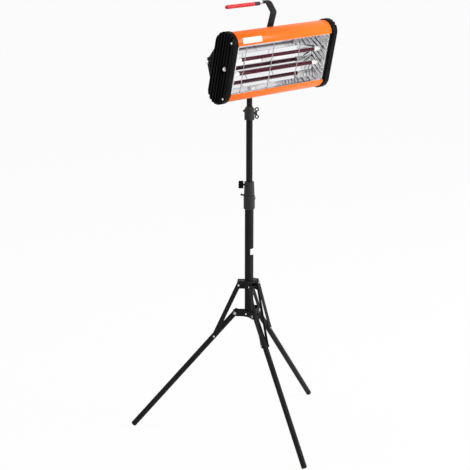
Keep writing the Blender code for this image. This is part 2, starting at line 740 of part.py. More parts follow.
def build_leg(leg, azimuth):
    """Tube leg with its pivot rivet and its end plug."""
    place = (*plan(azimuth, LEG_PIVOT_RADIUS), LEG_PIVOT_HEIGHT)
    hinge = axis(f"leg_axis_{leg}", place, (0, LEG_SLOPE, azimuth))
    radius = LEG_DIA / 2
    bore = radius - LEG_WALL
    end = leg_length()
    tube_end = end - PLUG_RIM - FIT_GAP
    lengthwise = (0, math.pi / 2, 0)
    tube = turned_mesh("leg", ring(bore, radius, -LEG_OVERHANG, tube_end))
    tube.transform(Matrix.Rotation(math.pi / 2, 4, "Y"))
    tube = part(f"leg_{leg}", tube, "black_enamel", hinge)
    drill = cylinder_mesh("leg_hole", PIVOT_PIN_DIA / 2 + FIT_GAP, -LEG_DIA, LEG_DIA)
    shape_with(tube, drill, rotation=(math.pi / 2, 0, 0))

    spigot = bore - FIT_GAP
    profile = [(0, -PLUG_RIM - PLUG_SPIGOT), (spigot, -PLUG_RIM - PLUG_SPIGOT), (spigot, -PLUG_RIM)]
    profile += [(radius, -PLUG_RIM)]
    profile += arc((radius - PLUG_ROUND, -PLUG_ROUND), PLUG_ROUND, 0, math.pi / 2, EDGE_STEPS)
    profile.append((0, 0))
    plug = turned_mesh("plug", profile, closed=False)
    part(f"leg_plug_{leg}", plug, "black_plastic", hinge, (end, 0, 0), lengthwise)

    half_span = radius + FIT_GAP + HUB_SHEET + FIT_GAP
    rivet = pivot_pin_mesh("rivet", half_span)
    turn = (math.pi / 2, 0, azimuth)
    part(f"leg_rivet_{leg}", rivet, "zinc_steel", None, place, turn)


def build_tripod():
    """Two hubs, three legs and three pairs of struts."""
    leg_wing = LEG_DIA / 2 + FIT_GAP
    lower = hub_mesh(
        "lower_hub",
        LEG_PIVOT_HEIGHT - LOWER_HUB_BELOW_PIVOT,
        LEG_PIVOT_HEIGHT + LOWER_HUB_ABOVE_PIVOT,
        LEG_PIVOT_RADIUS,
        LEG_PIVOT_HEIGHT,
        LOWER_WING_ROUND,
        leg_wing,
    )
    web = LOW_TUBE_DIA / 2 + FIT_GAP + HUB_SLEEVE_WALL + HUB_SHEET / 2
    for index in range(len(LEG_NAMES)):
        azimuth = FRONT_LEG_AZIMUTH + (index + 1 / 2) * math.tau / len(LEG_NAMES)
        head = cylinder_mesh("web_rivet", PIVOT_HEAD_DIA / 2, web, web + HUB_SHEET + WEB_RIVET_LENGTH)
        middle = LEG_PIVOT_HEIGHT + (LOWER_HUB_ABOVE_PIVOT - LOWER_HUB_BELOW_PIVOT) / 2
        shape_with(lower, head, "UNION", (0, 0, middle), (0, math.pi / 2, azimuth))
    fold = axis("fold_axis", (0, 0, STRUT_PIVOT_HEIGHT))
    upper = hub_mesh(
        "upper_hub",
        -UPPER_HUB_BELOW_PIVOT,
        UPPER_HUB_ABOVE_PIVOT,
        STRUT_PIVOT_RADIUS,
        0.0,
        UPPER_WING_ROUND,
        UPPER_WING_SPREAD,
    )
    upper.parent = fold
    for index, leg in enumerate(LEG_NAMES):
        azimuth = FRONT_LEG_AZIMUTH + index * math.tau / len(LEG_NAMES)
        build_leg(leg, azimuth)
        build_strut(leg, azimuth, fold)


def plate_outer_face():
    """Distance from the middle of the head to the outer face of a pivot plate."""
    return HEAD_LENGTH / 2 - FIT_GAP


def build_yoke(top_slide):
    """Bent bar welded to a socket on the top tube, with the two tilt bolts."""
    pan = axis("pan_axis", (0, 0, TOP_TUBE_TOP - TOP_TUBE_BOTTOM), parent=top_slide)
    half = SOCKET_SIZE / 2
    low = SOCKET_BOTTOM - TOP_TUBE_TOP
    high = SOCKET_TOP - TOP_TUBE_TOP
    block = box_mesh("yoke", (-half, -half, low), (half, half, high), SOCKET_BEVEL)
    yoke = part("yoke", block, "black_enamel", pan)

    drop = TILT_AXIS_HEIGHT - TOP_TUBE_TOP
    arm_outer = plate_outer_face() - PLATE_SHEET - FIT_GAP
    arm = arm_outer - YOKE_BAR_SHEET / 2
    back = -half - YOKE_BAR_SHEET / 2 + HUB_WELD
    round_end = YOKE_BAR_HEIGHT / 2
    front = -TILT_AXIS_FORWARD - round_end - CUT_OVERRUN
    corner = YOKE_BEND
    half_path = [(arm, front)]
    half_path += arc((arm - corner, back - corner), corner, 0, math.pi / 2, END_STEPS // 2)
    path = half_path + [(-a, b) for a, b in reversed(half_path)]
    bar = sheet_mesh("yoke_bar", path, YOKE_BAR_HEIGHT, YOKE_BAR_SHEET)
    bar.transform(Matrix.Translation((0, 0, drop)))
    blank = draft("yoke_bar_blank", bar)
    outline = arc((-TILT_AXIS_FORWARD, drop), round_end, math.pi / 2, 3 * math.pi / 2, END_STEPS)
    outline += [(half, drop - round_end), (half, drop + round_end)]
    rounding = draft("yoke_rounding", prism_mesh("rounding", outline, HEAD_LENGTH, SIDE_PROFILE))
    trim = blank.modifiers.new("trim", "BOOLEAN")
    trim.operation = "INTERSECT"
    trim.solver = "EXACT"
    trim.object = rounding
    trimmed = plain_mesh(blank, "yoke_bar")
    bpy.data.objects.remove(rounding, do_unlink=True)
    shape_with(yoke, trimmed, "UNION")
    bore = cylinder_mesh("yoke_bore", TOP_TUBE_DIA / 2 + FIT_GAP, low - CUT_OVERRUN, FIT_GAP, TUBE_STEPS)
    shape_with(yoke, bore)
    hole = TILT_BOLT_DIA / 2 + FIT_GAP
    drill = cylinder_mesh("tilt_hole", hole, -HEAD_LENGTH, HEAD_LENGTH)
    turn = (0, math.pi / 2, 0)
    shape_with(yoke, drill, location=(0, -TILT_AXIS_FORWARD, drop), rotation=turn)

    tilt = axis("tilt_axis", (0, -TILT_AXIS_FORWARD, drop), parent=pan)
    shank = TILT_BOLT_DIA / 2
    inner = arm_outer - YOKE_BAR_SHEET - TILT_BOLT_INNER
    washer_start = plate_outer_face() + FIT_GAP
    washer_end = washer_start + TILT_WASHER_LENGTH
    nut_start = washer_end + FIT_GAP
    nut = TILT_NUT_DIA / 2
    dome = nut_start + TILT_NUT_LENGTH - nut
    profile = [(0, inner), (shank, inner), (shank, nut_start), (nut, nut_start)]
    profile += arc((0, dome), nut, 0, math.pi / 2, END_STEPS // 2)
    washer = [
        (hole, washer_start),
        (TILT_WASHER_DIA / 2, washer_start),
        (TILT_WASHER_DIA / 2, washer_end),
        (hole, washer_end),
    ]
    for side, turn in (("left", -math.pi / 2), ("right", math.pi / 2)):
        rotation = (0, turn, 0)
        mesh = turned_mesh("tilt_bolt", profile, SMALL_STEPS, closed=False)
        part(f"tilt_bolt_{side}", mesh, "chrome", tilt, rotation=rotation)
        mesh = turned_mesh("tilt_washer", washer, SMALL_STEPS)
        part(f"tilt_washer_{side}", mesh, "black_plastic", tilt, rotation=rotation)
    return axis("head_axis", rotation=(HEAD_TILT, 0, 0), parent=tilt)


def stadium(radius, steps):
    """Side outline of the head, a pair of lobes joined by straight sides."""
    outline = arc((-HEAD_CENTRE_FORWARD, LOBE_SPACING), radius, 0, math.pi, steps)
    outline += arc((-HEAD_CENTRE_FORWARD, -LOBE_SPACING), radius, math.pi, math.tau, steps)
    return outline


def build_housing(head):
    """Bent orange housing that is open at the front between two lips."""
    front = HEAD_CENTRE_FORWARD + HOUSING_ROUND
    middle = HOUSING_ROUND - HOUSING_WALL / 2
    lobe = (-HEAD_CENTRE_FORWARD, LOBE_SPACING)
    lip = LIP_HEIGHT + HOUSING_WALL / 2
    lip_turn = math.asin((lip - LOBE_SPACING) / middle)
    upper = [(-front + LIP_DEPTH, lip)]
    upper += arc(lobe, middle, math.pi - lip_turn, 0, LOBE_STEPS)
    path = upper + [(a, -b) for a, b in reversed(upper)]
    length = HEAD_LENGTH - 2 * FIT_GAP
    mesh = sheet_mesh("housing", path, length, HOUSING_WALL, frame=SIDE_PROFILE)
    housing = part("housing", mesh, "orange_enamel", head, (0, 0, HEAD_RISE))
    back = HEAD_CENTRE_FORWARD - HOUSING_ROUND
    drill = cylinder_mesh("gland_hole", GLAND_BORE_DIA / 2, -CUT_OVERRUN, HOUSING_WALL + CUT_OVERRUN)
    place = (GLAND_SIDE, -back, -GLAND_DROP)
    shape_with(housing, drill, location=place, rotation=(math.pi / 2, 0, 0))
    block = box_mesh(
        "terminal_block",
        (-TERMINAL_WIDTH / 2, -TERMINAL_DEPTH, -TERMINAL_HEIGHT / 2),
        (TERMINAL_WIDTH / 2, 0, TERMINAL_HEIGHT / 2),
        TERMINAL_BEVEL,
    )
    place = (0, -back - HOUSING_WALL - FIT_GAP, HEAD_RISE)
    part("terminal_block", block, "white_ceramic", head, place)


def reflector_path():
    """Faceted trough from the upper to the lower lip."""
    front = HEAD_CENTRE_FORWARD + HOUSING_ROUND - LIP_DEPTH + REFLECTOR_LIP
    edge = LIP_HEIGHT - FIT_GAP - REFLECTOR_SHEET / 2
    start = front - REFLECTOR_LIP
    points = [(-front, edge)]
    for index in range(REFLECTOR_FACETS + 1):
        angle = math.pi / 2 - math.pi * index / REFLECTOR_FACETS
        forward = start - REFLECTOR_DEPTH * math.cos(angle)
        points.append((-forward, edge * math.sin(angle)))
    points.append((-front, -edge))
    return points


def build_reflector(head):
    """Faceted reflector and its two ridged end plates."""
    path = reflector_path()
    width = 2 * REFLECTOR_HALF_LENGTH
    mesh = sheet_mesh("reflector", path, width, REFLECTOR_SHEET, frame=SIDE_PROFILE)
    part("reflector", mesh, "polished_aluminium", head, (0, 0, HEAD_RISE))

    edge = path[0][1]
    front = -path[0][0]
    plate_start = REFLECTOR_HALF_LENGTH + FIT_GAP + END_PLATE_RIDGE_RISE
    ridge_height = 2 * edge / END_PLATE_RIDGES
    flange_end = HEAD_LENGTH / 2 - FIT_GAP
    for side, sign in (("left", -1), ("right", 1)):
        # the ridges are wider than the plate, slant down to the front and are then trimmed
        zigzag = []
        for index in range(-END_PLATE_SPARE_RIDGES, END_PLATE_RIDGES + END_PLATE_SPARE_RIDGES + 1):
            height = -edge + ridge_height * index
            zigzag.append((sign * plate_start, height))
            crest = plate_start - END_PLATE_RIDGE_RISE + END_PLATE_SHEET / 2
            zigzag.append((sign * crest, height + ridge_height / 2))
        mesh = sheet_mesh("plate", zigzag, 2 * front, END_PLATE_SHEET, frame=FRONT_PROFILE)
        slant = Matrix.Identity(4)
        slant[2][1] = math.tan(END_PLATE_RIDGE_SLOPE)
        mesh.transform(Matrix.Translation((0, -LAMP_FORWARD, 0)) @ slant)
        blank = draft("plate_blank", mesh)
        shift = sign * plate_start
        outline = prism_mesh("plate_outline", path, END_PLATE_RIDGE_RISE * 6, SIDE_PROFILE)
        outline.transform(Matrix.Translation((shift, 0, 0)))
        cutter = draft("plate_cutter", outline)
        trim = blank.modifiers.new("trim", "BOOLEAN")
        trim.operation = "INTERSECT"
        trim.solver = "EXACT"
        trim.object = cutter
        trimmed = plain_mesh(blank, "end_plate")
        bpy.data.objects.remove(cutter, do_unlink=True)
        plate = part(f"reflector_end_{side}", trimmed, "polished_aluminium", head, (0, 0, HEAD_RISE))
        ends = sorted((sign * (plate_start - END_PLATE_SHEET), sign * flange_end))
        flange = box_mesh(
            "plate_flange",
            (ends[0], -front, -edge + END_PLATE_MARGIN),
            (ends[1], -front + END_PLATE_SHEET, edge - END_PLATE_MARGIN),
        )
        shape_with(plate, flange, "UNION")


def build_lamps(head):
    """Two quartz lamps between ceramic holders that end against a crest of each end plate."""
    radius = LAMP_DIA / 2
    tip = LAMP_HALF_VISIBLE + SEAL_DEPTH - FIT_GAP
    pinch = radius / 2
    profile = [(0, -tip), (pinch, -tip), (radius, -tip + pinch)]
    profile += [(radius, tip - pinch), (pinch, tip), (0, tip)]
    bore = radius + FIT_GAP
    outer = CERAMIC_DIA / 2
    neck = CERAMIC_NECK_DIA / 2
    start = LAMP_HALF_VISIBLE
    end = REFLECTOR_HALF_LENGTH
    holder = [
        (0, start + SEAL_DEPTH),
        (bore, start + SEAL_DEPTH),
        (bore, start),
        (outer - CERAMIC_CHAMFER, start),
        (outer, start + CERAMIC_CHAMFER),
        (outer, end - CERAMIC_NECK_LENGTH),
        (neck, end - CERAMIC_NECK_LENGTH),
        (neck, end),
        (0, end),
    ]
    for level, rise in (("upper", LAMP_SPACING / 2), ("lower", -LAMP_SPACING / 2)):
        place = (0, -LAMP_FORWARD, HEAD_RISE + rise)
        mesh = turned_mesh("lamp", profile, SMALL_STEPS, closed=False)
        part(f"quartz_lamp_{level}", mesh, "ruby_quartz", head, place, (0, math.pi / 2, 0))
        for side, turn in (("left", -math.pi / 2), ("right", math.pi / 2)):
            mesh = turned_mesh("holder", holder, SMALL_STEPS, closed=False)
            name = f"lamp_holder_{level}_{side}"
            part(name, mesh, "white_ceramic", head, place, (0, turn, 0))


def build_guard(head):
    """Cross wires hooked behind the lips of the housing."""
    radius = WIRE_DIA / 2
    front = HEAD_CENTRE_FORWARD + HOUSING_ROUND - LIP_DEPTH + REFLECTOR_LIP
    forward = front + radius - REFLECTOR_SHEET
    top = LIP_HEIGHT - FIT_GAP - REFLECTOR_SHEET - FIT_GAP - radius
    for index in range(WIRE_COUNT):
        place = (-WIRE_REACH + index * WIRE_PITCH, 0, HEAD_RISE)
        points = [(0, -forward + WIRE_TAIL, top), (0, -forward, top)]
        points += [(0, -forward, -top), (0, -forward + WIRE_TAIL, -top)]
        part(f"guard_wire_{index + 1}", rod_mesh("wire", points, radius), "chrome", head, place)


def build_end_cap(head, side, sign):
    """Ribbed end casting, hollow behind its ribs, with its centre bolt and two face screws."""
    inner = HEAD_LENGTH / 2
    outer = inner + CAP_LENGTH
    mesh = prism_mesh("cap", stadium(CAP_ROUND, CAP_STEPS), CAP_LENGTH, SIDE_PROFILE)
    place = (sign * (inner + outer) / 2, 0, HEAD_RISE)
    blank = draft("cap_blank", mesh)
    add_bevel(blank, CAP_BEVEL, 1, CAP_EDGE_ANGLE)
    cap = part(f"end_cap_{side}", plain_mesh(blank, "cap"), "black_casting", head, place)
    face = sign * CAP_LENGTH / 2
    height = LOBE_SPACING + CAP_ROUND + CUT_OVERRUN
    back = HEAD_CENTRE_FORWARD - CAP_ROUND
    for index in range(RIB_GROOVES):
        middle = back + FIRST_GROOVE + index * RIB_PITCH
        ends = sorted((face - sign * RIB_GROOVE_DEPTH, face + sign * CUT_OVERRUN))
        groove = box_mesh(
            "groove",
            (ends[0], -middle - RIB_GROOVE_WIDTH / 2, -height),
            (ends[1], -middle + RIB_GROOVE_WIDTH / 2, height),
        )
        shape_with(cap, groove)
    floor = CAP_LENGTH / 2 - RIB_GROOVE_DEPTH
    pocket_depth = floor - CAP_WALL + CAP_LENGTH / 2
    pocket = stadium(CAP_ROUND - CAP_RIM, CAP_STEPS)
    pocket = prism_mesh("pocket", pocket, pocket_depth + CUT_OVERRUN, SIDE_PROFILE)
    shift = (CAP_LENGTH - pocket_depth + CUT_OVERRUN) / 2
    shape_with(cap, pocket, location=(-sign * shift, 0, 0))
    along = (0, sign * math.pi / 2, 0)
    recess = cylinder_mesh("recess", CAP_RECESS_DIA / 2, floor, CAP_LENGTH / 2 + CUT_OVERRUN, BOSS_STEPS)
    shape_with(cap, recess, location=(0, -CAP_BOLT_FORWARD, 0), rotation=along)
    shank = SCREW_SHANK_DIA / 2
    hole = shank + FIT_GAP
    spots = {"bolt": (CAP_BOLT_FORWARD, 0.0)}
    reach = CAP_SCREW_RADIUS * math.cos(CAP_SCREW_ANGLE)
    lift = LOBE_SPACING + CAP_SCREW_RADIUS * math.sin(CAP_SCREW_ANGLE)
    spots["screw_upper"] = (HEAD_CENTRE_FORWARD + reach, lift)
    spots["screw_lower"] = (HEAD_CENTRE_FORWARD + reach, -lift)
    for name, (forward, up) in spots.items():
        is_bolt = name == "bolt"
        seat = floor if is_bolt else CAP_LENGTH / 2 - CAP_SCREW_LENGTH
        width = CAP_BOLT_DIA if is_bolt else CAP_SCREW_DIA
        rise = CAP_BOLT_LENGTH if is_bolt else CAP_SCREW_LENGTH
        root = FIT_GAP - CAP_LENGTH / 2
        crown = floor - CAP_WALL / 2 if is_bolt else seat
        boss = cylinder_mesh("boss", CAP_SCREW_BOSS_DIA / 2, root, crown, BOSS_STEPS)
        shape_with(cap, boss, "UNION", (0, -forward, up), along)
        if not is_bolt:
            sink_radius = width / 2 + FIT_GAP
            sink = cylinder_mesh("sink", sink_radius, seat, CAP_LENGTH / 2 + CUT_OVERRUN, BOSS_STEPS)
            shape_with(cap, sink, location=(0, -forward, up), rotation=along)
        depth = seat - SCREW_SHANK_LENGTH
        drill = cylinder_mesh("screw_hole", hole, depth - FIT_GAP, seat + FIT_GAP)
        shape_with(cap, drill, location=(0, -forward, up), rotation=along)
        start = seat + FIT_GAP
        half = width / 2
        profile = [(0, depth), (shank, depth), (shank, start), (half, start)]
        profile += [(half, start + rise / 2), (half / 2, start + rise), (0, start + rise)]
        screw = turned_mesh("screw", profile, SMALL_STEPS, closed=False)
        spot = (place[0], -forward, HEAD_RISE + up)
        part(f"cap_{name}_{side}", screw, "chrome", head, spot, along)


def build_pivot_plate(head, side, sign):
    """Triangular plate on the back of the housing, bored for the tilt bolt."""
    outer = plate_outer_face()
    base = HEAD_CENTRE_FORWARD - HOUSING_ROUND - FIT_GAP
    shoulder = math.hypot(PLATE_SHOULDER, PLATE_HALF_HEIGHT)
    direction = math.atan2(PLATE_HALF_HEIGHT, -PLATE_SHOULDER)
    touch = direction - math.acos(PLATE_ROUND / shoulder)
    outline = [(-base, -PLATE_HALF_HEIGHT), (-PLATE_SHOULDER, -PLATE_HALF_HEIGHT)]
    outline += arc((0, 0), PLATE_ROUND, -touch, touch, END_STEPS)
    outline += [(-PLATE_SHOULDER, PLATE_HALF_HEIGHT), (-base, PLATE_HALF_HEIGHT)]
    mesh = prism_mesh("pivot_plate", outline, PLATE_SHEET, SIDE_PROFILE)
    place = (sign * (outer - PLATE_SHEET / 2), 0, 0)
    plate = part(f"pivot_plate_{side}", mesh, "black_enamel", head, place)
    ends = sorted((0.0, -sign * PLATE_FLANGE))
    flange = box_mesh(
        "flange",
        (ends[0], -base, -PLATE_FLANGE_HALF_HEIGHT),
        (ends[1], -base + PLATE_SHEET, PLATE_FLANGE_HALF_HEIGHT),
    )
    shape_with(plate, flange, "UNION")
    drill = cylinder_mesh("tilt_hole", TILT_BOLT_DIA / 2 + FIT_GAP, -PLATE_SHEET, PLATE_SHEET)
    shape_with(plate, drill, rotation=(0, math.pi / 2, 0))


def build_handle(head):
    """Bent strip on the back of the housing that carries the guiding handle."""
    back = HEAD_CENTRE_FORWARD - HOUSING_ROUND - FIT_GAP - STRIP_SHEET / 2
    path = [
        (-back, STRIP_FOOT),
        (-back, STRIP_LEAVES_BACK),
        (-STRIP_ELBOW_FORWARD, STRIP_ELBOW_HEIGHT),
        (-STRIP_END_FORWARD, STRIP_END_HEIGHT),
        (-STRIP_END_FORWARD + STRIP_LEDGE, STRIP_END_HEIGHT),
    ]
    mesh = sheet_mesh("handle_strip", path, STRIP_WIDTH, STRIP_SHEET, frame=SIDE_PROFILE)
    part("handle_strip", mesh, "black_enamel", head)

    radius = HANDLE_ROD_DIA / 2
    height = STRIP_END_HEIGHT - STRIP_SHEET / 2 - FIT_GAP - radius
    place = (0, -STRIP_END_FORWARD + STRIP_LEDGE / 2, height)
    leftwards = (0, -math.pi / 2, 0)
    collar_end = GRIP_COLLAR_START + GRIP_COLLAR_LENGTH
    grip_start = collar_end + FIT_GAP
    rod = cylinder_mesh("handle_rod", radius, -STRIP_WIDTH / 2, grip_start + GRIP_SOCKET)
    part("handle_rod", rod, "chrome", head, place, leftwards)
    bore = radius + FIT_GAP
    collar = ring(bore, GRIP_COLLAR_DIA / 2, GRIP_COLLAR_START, collar_end)
    mesh = turned_mesh("collar", collar, SMALL_STEPS)
    part("handle_collar", mesh, "black_plastic", head, place, leftwards)
    grip = GRIP_DIA / 2
    floor = grip_start + GRIP_SOCKET + FIT_GAP
    far = grip_start + GRIP_LENGTH
    profile = [(0, floor), (bore, floor), (bore, grip_start), (grip, grip_start)]
    profile += arc((0, far - grip), grip, 0, math.pi / 2, END_STEPS // 2)
    mesh = turned_mesh("grip", profile, BOSS_STEPS, closed=False)
    part("handle_grip", mesh, "red_grip", head, place, leftwards)


def build_gland(head):
    """Cable gland in the back of the housing; the cord itself is not part of the object."""
    back = HEAD_CENTRE_FORWARD - HOUSING_ROUND
    hexagon = GLAND_HEX_DIA / 2
    dome = GLAND_NUT_DIA / 2
    bore = GLAND_BORE_DIA / 2
    end = GLAND_HEX_LENGTH + GLAND_NUT_LENGTH
    body = ring(bore, hexagon, FIT_GAP, GLAND_HEX_LENGTH)
    place = (GLAND_SIDE, -back, HEAD_RISE - GLAND_DROP)
    backwards = (-math.pi / 2, 0, 0)
    mesh = turned_mesh("gland", body, HEX_STEPS)
    gland = part("cable_gland", mesh, "black_plastic", head, place, backwards)
    start = GLAND_HEX_LENGTH / 2
    profile = [(bore, start), (dome, start), (dome, end - GLAND_ROUND)]
    profile += [(dome - GLAND_ROUND, end), (bore, end)]
    shape_with(gland, turned_mesh("gland_nut", profile, BOSS_STEPS), "UNION")


def build_head(head):
    build_housing(head)
    build_reflector(head)
    build_lamps(head)
    build_guard(head)
    for side, sign in (("left", -1), ("right", 1)):
        build_end_cap(head, side, sign)
        build_pivot_plate(head, side, sign)
    build_handle(head)
    build_gland(head)


build_tripod()
TOP_SLIDE = build_column()
build_head(build_yoke(TOP_SLIDE))
bpy.context.view_layer.update()
print("sub-parts:", sum(item.type == "MESH" for item in PARTS.objects))
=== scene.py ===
import json
import math

import bmesh
import bpy
from mathutils import Matrix, Vector


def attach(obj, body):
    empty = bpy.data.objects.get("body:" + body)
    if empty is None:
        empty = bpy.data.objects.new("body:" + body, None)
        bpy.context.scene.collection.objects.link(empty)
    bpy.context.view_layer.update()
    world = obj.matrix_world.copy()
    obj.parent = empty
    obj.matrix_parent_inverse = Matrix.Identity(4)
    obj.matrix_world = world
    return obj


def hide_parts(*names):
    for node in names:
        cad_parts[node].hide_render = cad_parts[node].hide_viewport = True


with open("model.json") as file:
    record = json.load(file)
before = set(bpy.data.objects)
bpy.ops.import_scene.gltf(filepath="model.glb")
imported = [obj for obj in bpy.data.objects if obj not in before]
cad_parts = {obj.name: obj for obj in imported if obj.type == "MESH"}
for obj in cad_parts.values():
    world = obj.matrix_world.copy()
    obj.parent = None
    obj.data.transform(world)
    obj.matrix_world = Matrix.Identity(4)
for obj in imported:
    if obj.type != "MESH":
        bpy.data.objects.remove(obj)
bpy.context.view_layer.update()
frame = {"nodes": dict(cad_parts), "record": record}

print("frame loaded:", len(frame["nodes"]), "nodes")


# Places that the pieces share, in metres and in the frame of the CAD model

def shift(x, y, z):
    return Matrix.Translation((x, y, z))


def turned(angle, axis):
    return Matrix.Rotation(angle, 4, axis)


def plan(azimuth, radius):
    return (radius * math.cos(azimuth), radius * math.sin(azimuth))


def standing(azimuth, radius, height):
    # X points away from the column
    return shift(*plan(azimuth, radius), height) @ turned(azimuth, "Z")


places = {
    "tiltAxis": (0, -0.042, 1.328), "headTilt": math.radians(12.24), "headRise": 0.0045,
    "clampAzimuth": math.radians(-46.3),
    "legAzimuths": {"front": math.radians(-109.5), "right": math.radians(10.5), "left": math.radians(130.5)},
}
gap = 0.0003
quarter = math.pi / 2
tiltPlace = shift(*places["tiltAxis"]) @ turned(places["headTilt"], "X")
headPlace = tiltPlace @ shift(0, 0, places["headRise"])
# Z goes to X
lengthwise = turned(quarter, "Y")
# Outline point (a, b) and thickness c go to (c, a, b)
sideways = Matrix(((0, 0, 1, 0), (1, 0, 0, 0), (0, 1, 0, 0), (0, 0, 0, 1)))
mirrors = {"left": Matrix.Scale(-1, 4, (1, 0, 0)), "right": Matrix.Identity(4)}
sideTurns = {"left": turned(-quarter, "Y"), "right": turned(quarter, "Y")}


# Node tools

def feed(tree, socket, value):
    if isinstance(value, bpy.types.NodeSocket):
        tree.links.new(value, socket)
    else:
        socket.default_value = value


def addNode(tree, kind, values=None, **settings):
    # values fill sockets by name, with a constant or with the socket that feeds them
    node = tree.nodes.new(kind)
    for key, value in settings.items():
        setattr(node, key, value)
    for label, value in (values or {}).items():
        feed(tree, next(s for s in node.inputs if s.name == label and s.enabled), value)
    return node


def mathNode(tree, operation, *values):
    node = addNode(tree, "ShaderNodeMath", operation=operation)
    for socket, value in zip(node.inputs, values):
        feed(tree, socket, value)
    return node.outputs[0]


def vectorNode(tree, **parts):
    return addNode(tree, "ShaderNodeCombineXYZ", parts).outputs[0]


# Materials

materials = {}
noiseSpan = (0.35, 0.65)


def noiseTexture(tree, scale, detail, stretch=(1, 1, 1)):
    where = addNode(tree, "ShaderNodeTexCoord").outputs["Object"]
    mapping = addNode(tree, "ShaderNodeMapping", {"Vector": where, "Scale": stretch}).outputs["Vector"]
    noise = addNode(tree, "ShaderNodeTexNoise", {"Vector": mapping, "Scale": scale, "Detail": detail})
    return noise.outputs["Fac"]


def rampBetween(tree, source, low, high):
    ramp = addNode(tree, "ShaderNodeMapRange", {
        "Value": source, "From Min": noiseSpan[0], "From Max": noiseSpan[1], "To Min": low, "To Max": high,
    })
    return ramp.outputs["Result"]


def mixColours(tree, share, first, second):
    mix = addNode(tree, "ShaderNodeMix", {"Factor": share, "A": first, "B": second}, data_type="RGBA")
    return mix.outputs["Result"]


def finish(slot, name, first, second, roughness, scale, grain=None, share=1, stretch=(1, 1, 1), **values):
    # two colours and two roughnesses mixed by one noise, and a grain of (scale, detail, strength, distance, stretch)
    material = bpy.data.materials.new(name)
    material.use_nodes = True
    material.diffuse_color = (*first, 1)
    tree = material.node_tree
    inputs = tree.nodes["Principled BSDF"].inputs
    noise = noiseTexture(tree, scale, 5, stretch)
    mixed = mixColours(tree, rampBetween(tree, noise, 0, share), (*first, 1), (*second, 1))
    feed(tree, inputs["Base Color"], mixed)
    feed(tree, inputs["Roughness"], rampBetween(tree, noise, *roughness))
    for label, value in values.items():
        inputs[shaderSockets[label]].default_value = value
    if grain:
        size, detail, strength, distance, *drawn = grain
        height = noiseTexture(tree, size, detail, *drawn)
        bump = addNode(tree, "ShaderNodeBump", {"Strength": strength, "Distance": distance, "Height": height})
        feed(tree, inputs["Normal"], bump.outputs["Normal"])
    materials[slot] = material


# paints shade into a material's colour: a dark colour is mixed in where the named attribute is high
def paintShadeBy(material, attribute, colour, gain):
    tree = material.node_tree
    base = tree.nodes["Principled BSDF"].inputs["Base Color"]
    share = addNode(tree, "ShaderNodeAttribute", attribute_name=attribute).outputs["Fac"]
    earlier = base.links[0].from_socket
    feed(tree, base, mixColours(tree, mathNode(tree, "MULTIPLY", share, gain), earlier, (*colour, 1)))


shaderSockets = {
    "metallic": "Metallic", "specular": "Specular IOR Level", "coat": "Coat Weight",
    "coatRoughness": "Coat Roughness", "transmission": "Transmission Weight", "ior": "IOR",
}
finish(
    "orange_enamel", "orangePaint", (0.92, 0.158, 0.006), (0.89, 0.15, 0.006), (0.3, 0.4), 9,
    (900, 2, 0.05, 0.0002), 0.8, specular=0.16, coat=0.1, coatRoughness=0.06,
)
finish(
    "black_casting", "blackCasting", (0.0035, 0.0035, 0.0038), (0.006, 0.006, 0.006), (0.36, 0.5), 40,
    (1500, 3, 0.16, 0.0003), specular=0.05,
)
finish(
    "black_enamel", "blackEnamel", (0.021, 0.021, 0.0215), (0.027, 0.027, 0.028), (0.26, 0.4), 30,
    (1100, 2, 0.1, 0.0002), stretch=(1, 1, 0.2), specular=0.02,
)
finish(
    "black_plastic", "blackPlastic", (0.038, 0.038, 0.038), (0.05, 0.05, 0.05), (0.44, 0.6), 60,
    (2200, 2, 0.2, 0.0002), specular=0.1,
)
finish(
    "foot_rubber", "footRubber", (0.01, 0.01, 0.01), (0.02, 0.0195, 0.019), (0.72, 0.9), 90,
    (1400, 4, 0.25, 0.0003), specular=0.2,
)
finish(
    "polished_aluminium", "reflectorMirror", (0.9, 0.9, 0.91), (0.84, 0.84, 0.86), (0.05, 0.1), 14,
    (22, 2, 0.04, 0.001, (0.35, 1, 1)), stretch=(0.3, 1, 1), metallic=1,
)
finish("end_plate", "endPlateAluminium", (0.86, 0.86, 0.87), (0.74, 0.74, 0.76), (0.2, 0.3), 60, metallic=1)
# painted shade: the end plates' crease bottoms are darkened towards near black, standing in for the shade that falls
# in the creases
paintShadeBy(materials["end_plate"], "crease", (0.006, 0.006, 0.0065), 2.8)
finish("chrome", "chromePlate", (0.82, 0.83, 0.84), (0.7, 0.7, 0.72), (0.06, 0.16), 120, metallic=1)
finish(
    "zinc_steel", "zincPlate", (0.5, 0.51, 0.52), (0.36, 0.36, 0.35), (0.28, 0.45), 160,
    (1800, 2, 0.12, 0.0002), metallic=1,
)
finish("dark_steel", "darkSteel", (0.06, 0.06, 0.062), (0.035, 0.035, 0.036), (0.3, 0.45), 160, metallic=1)
finish(
    "ruby_quartz", "rubyQuartz", (0.085, 0.002, 0.016), (0.06, 0.0015, 0.011), (0.05, 0.1), 30,
    stretch=(0.2, 1, 1), specular=0.12, transmission=0.15, ior=1.46,
)
finish("filament", "tungstenCoil", (0.36, 0.34, 0.33), (0.24, 0.22, 0.21), (0.3, 0.45), 200, metallic=1)
finish(
    "white_ceramic", "whiteCeramic", (0.84, 0.83, 0.8), (0.74, 0.72, 0.68), (0.38, 0.55), 70,
    (700, 3, 0.12, 0.0003), coat=0.25, coatRoughness=0.2,
)
finish(
    "red_grip", "redGrip", (0.66, 0.009, 0.018), (0.55, 0.006, 0.014), (0.34, 0.46), 60,
    (1200, 2, 0.1, 0.0003), coat=0.2, coatRoughness=0.2,
)
finish(
    "label", "blankLabel", (0.88, 0.88, 0.88), (0.83, 0.83, 0.84), (0.26, 0.36), 40,
    coat=0.35, coatRoughness=0.12,
)
print("materials made:", len(materials))


# Mesh tools

merge = 0.000002
cornerShare = 0.45


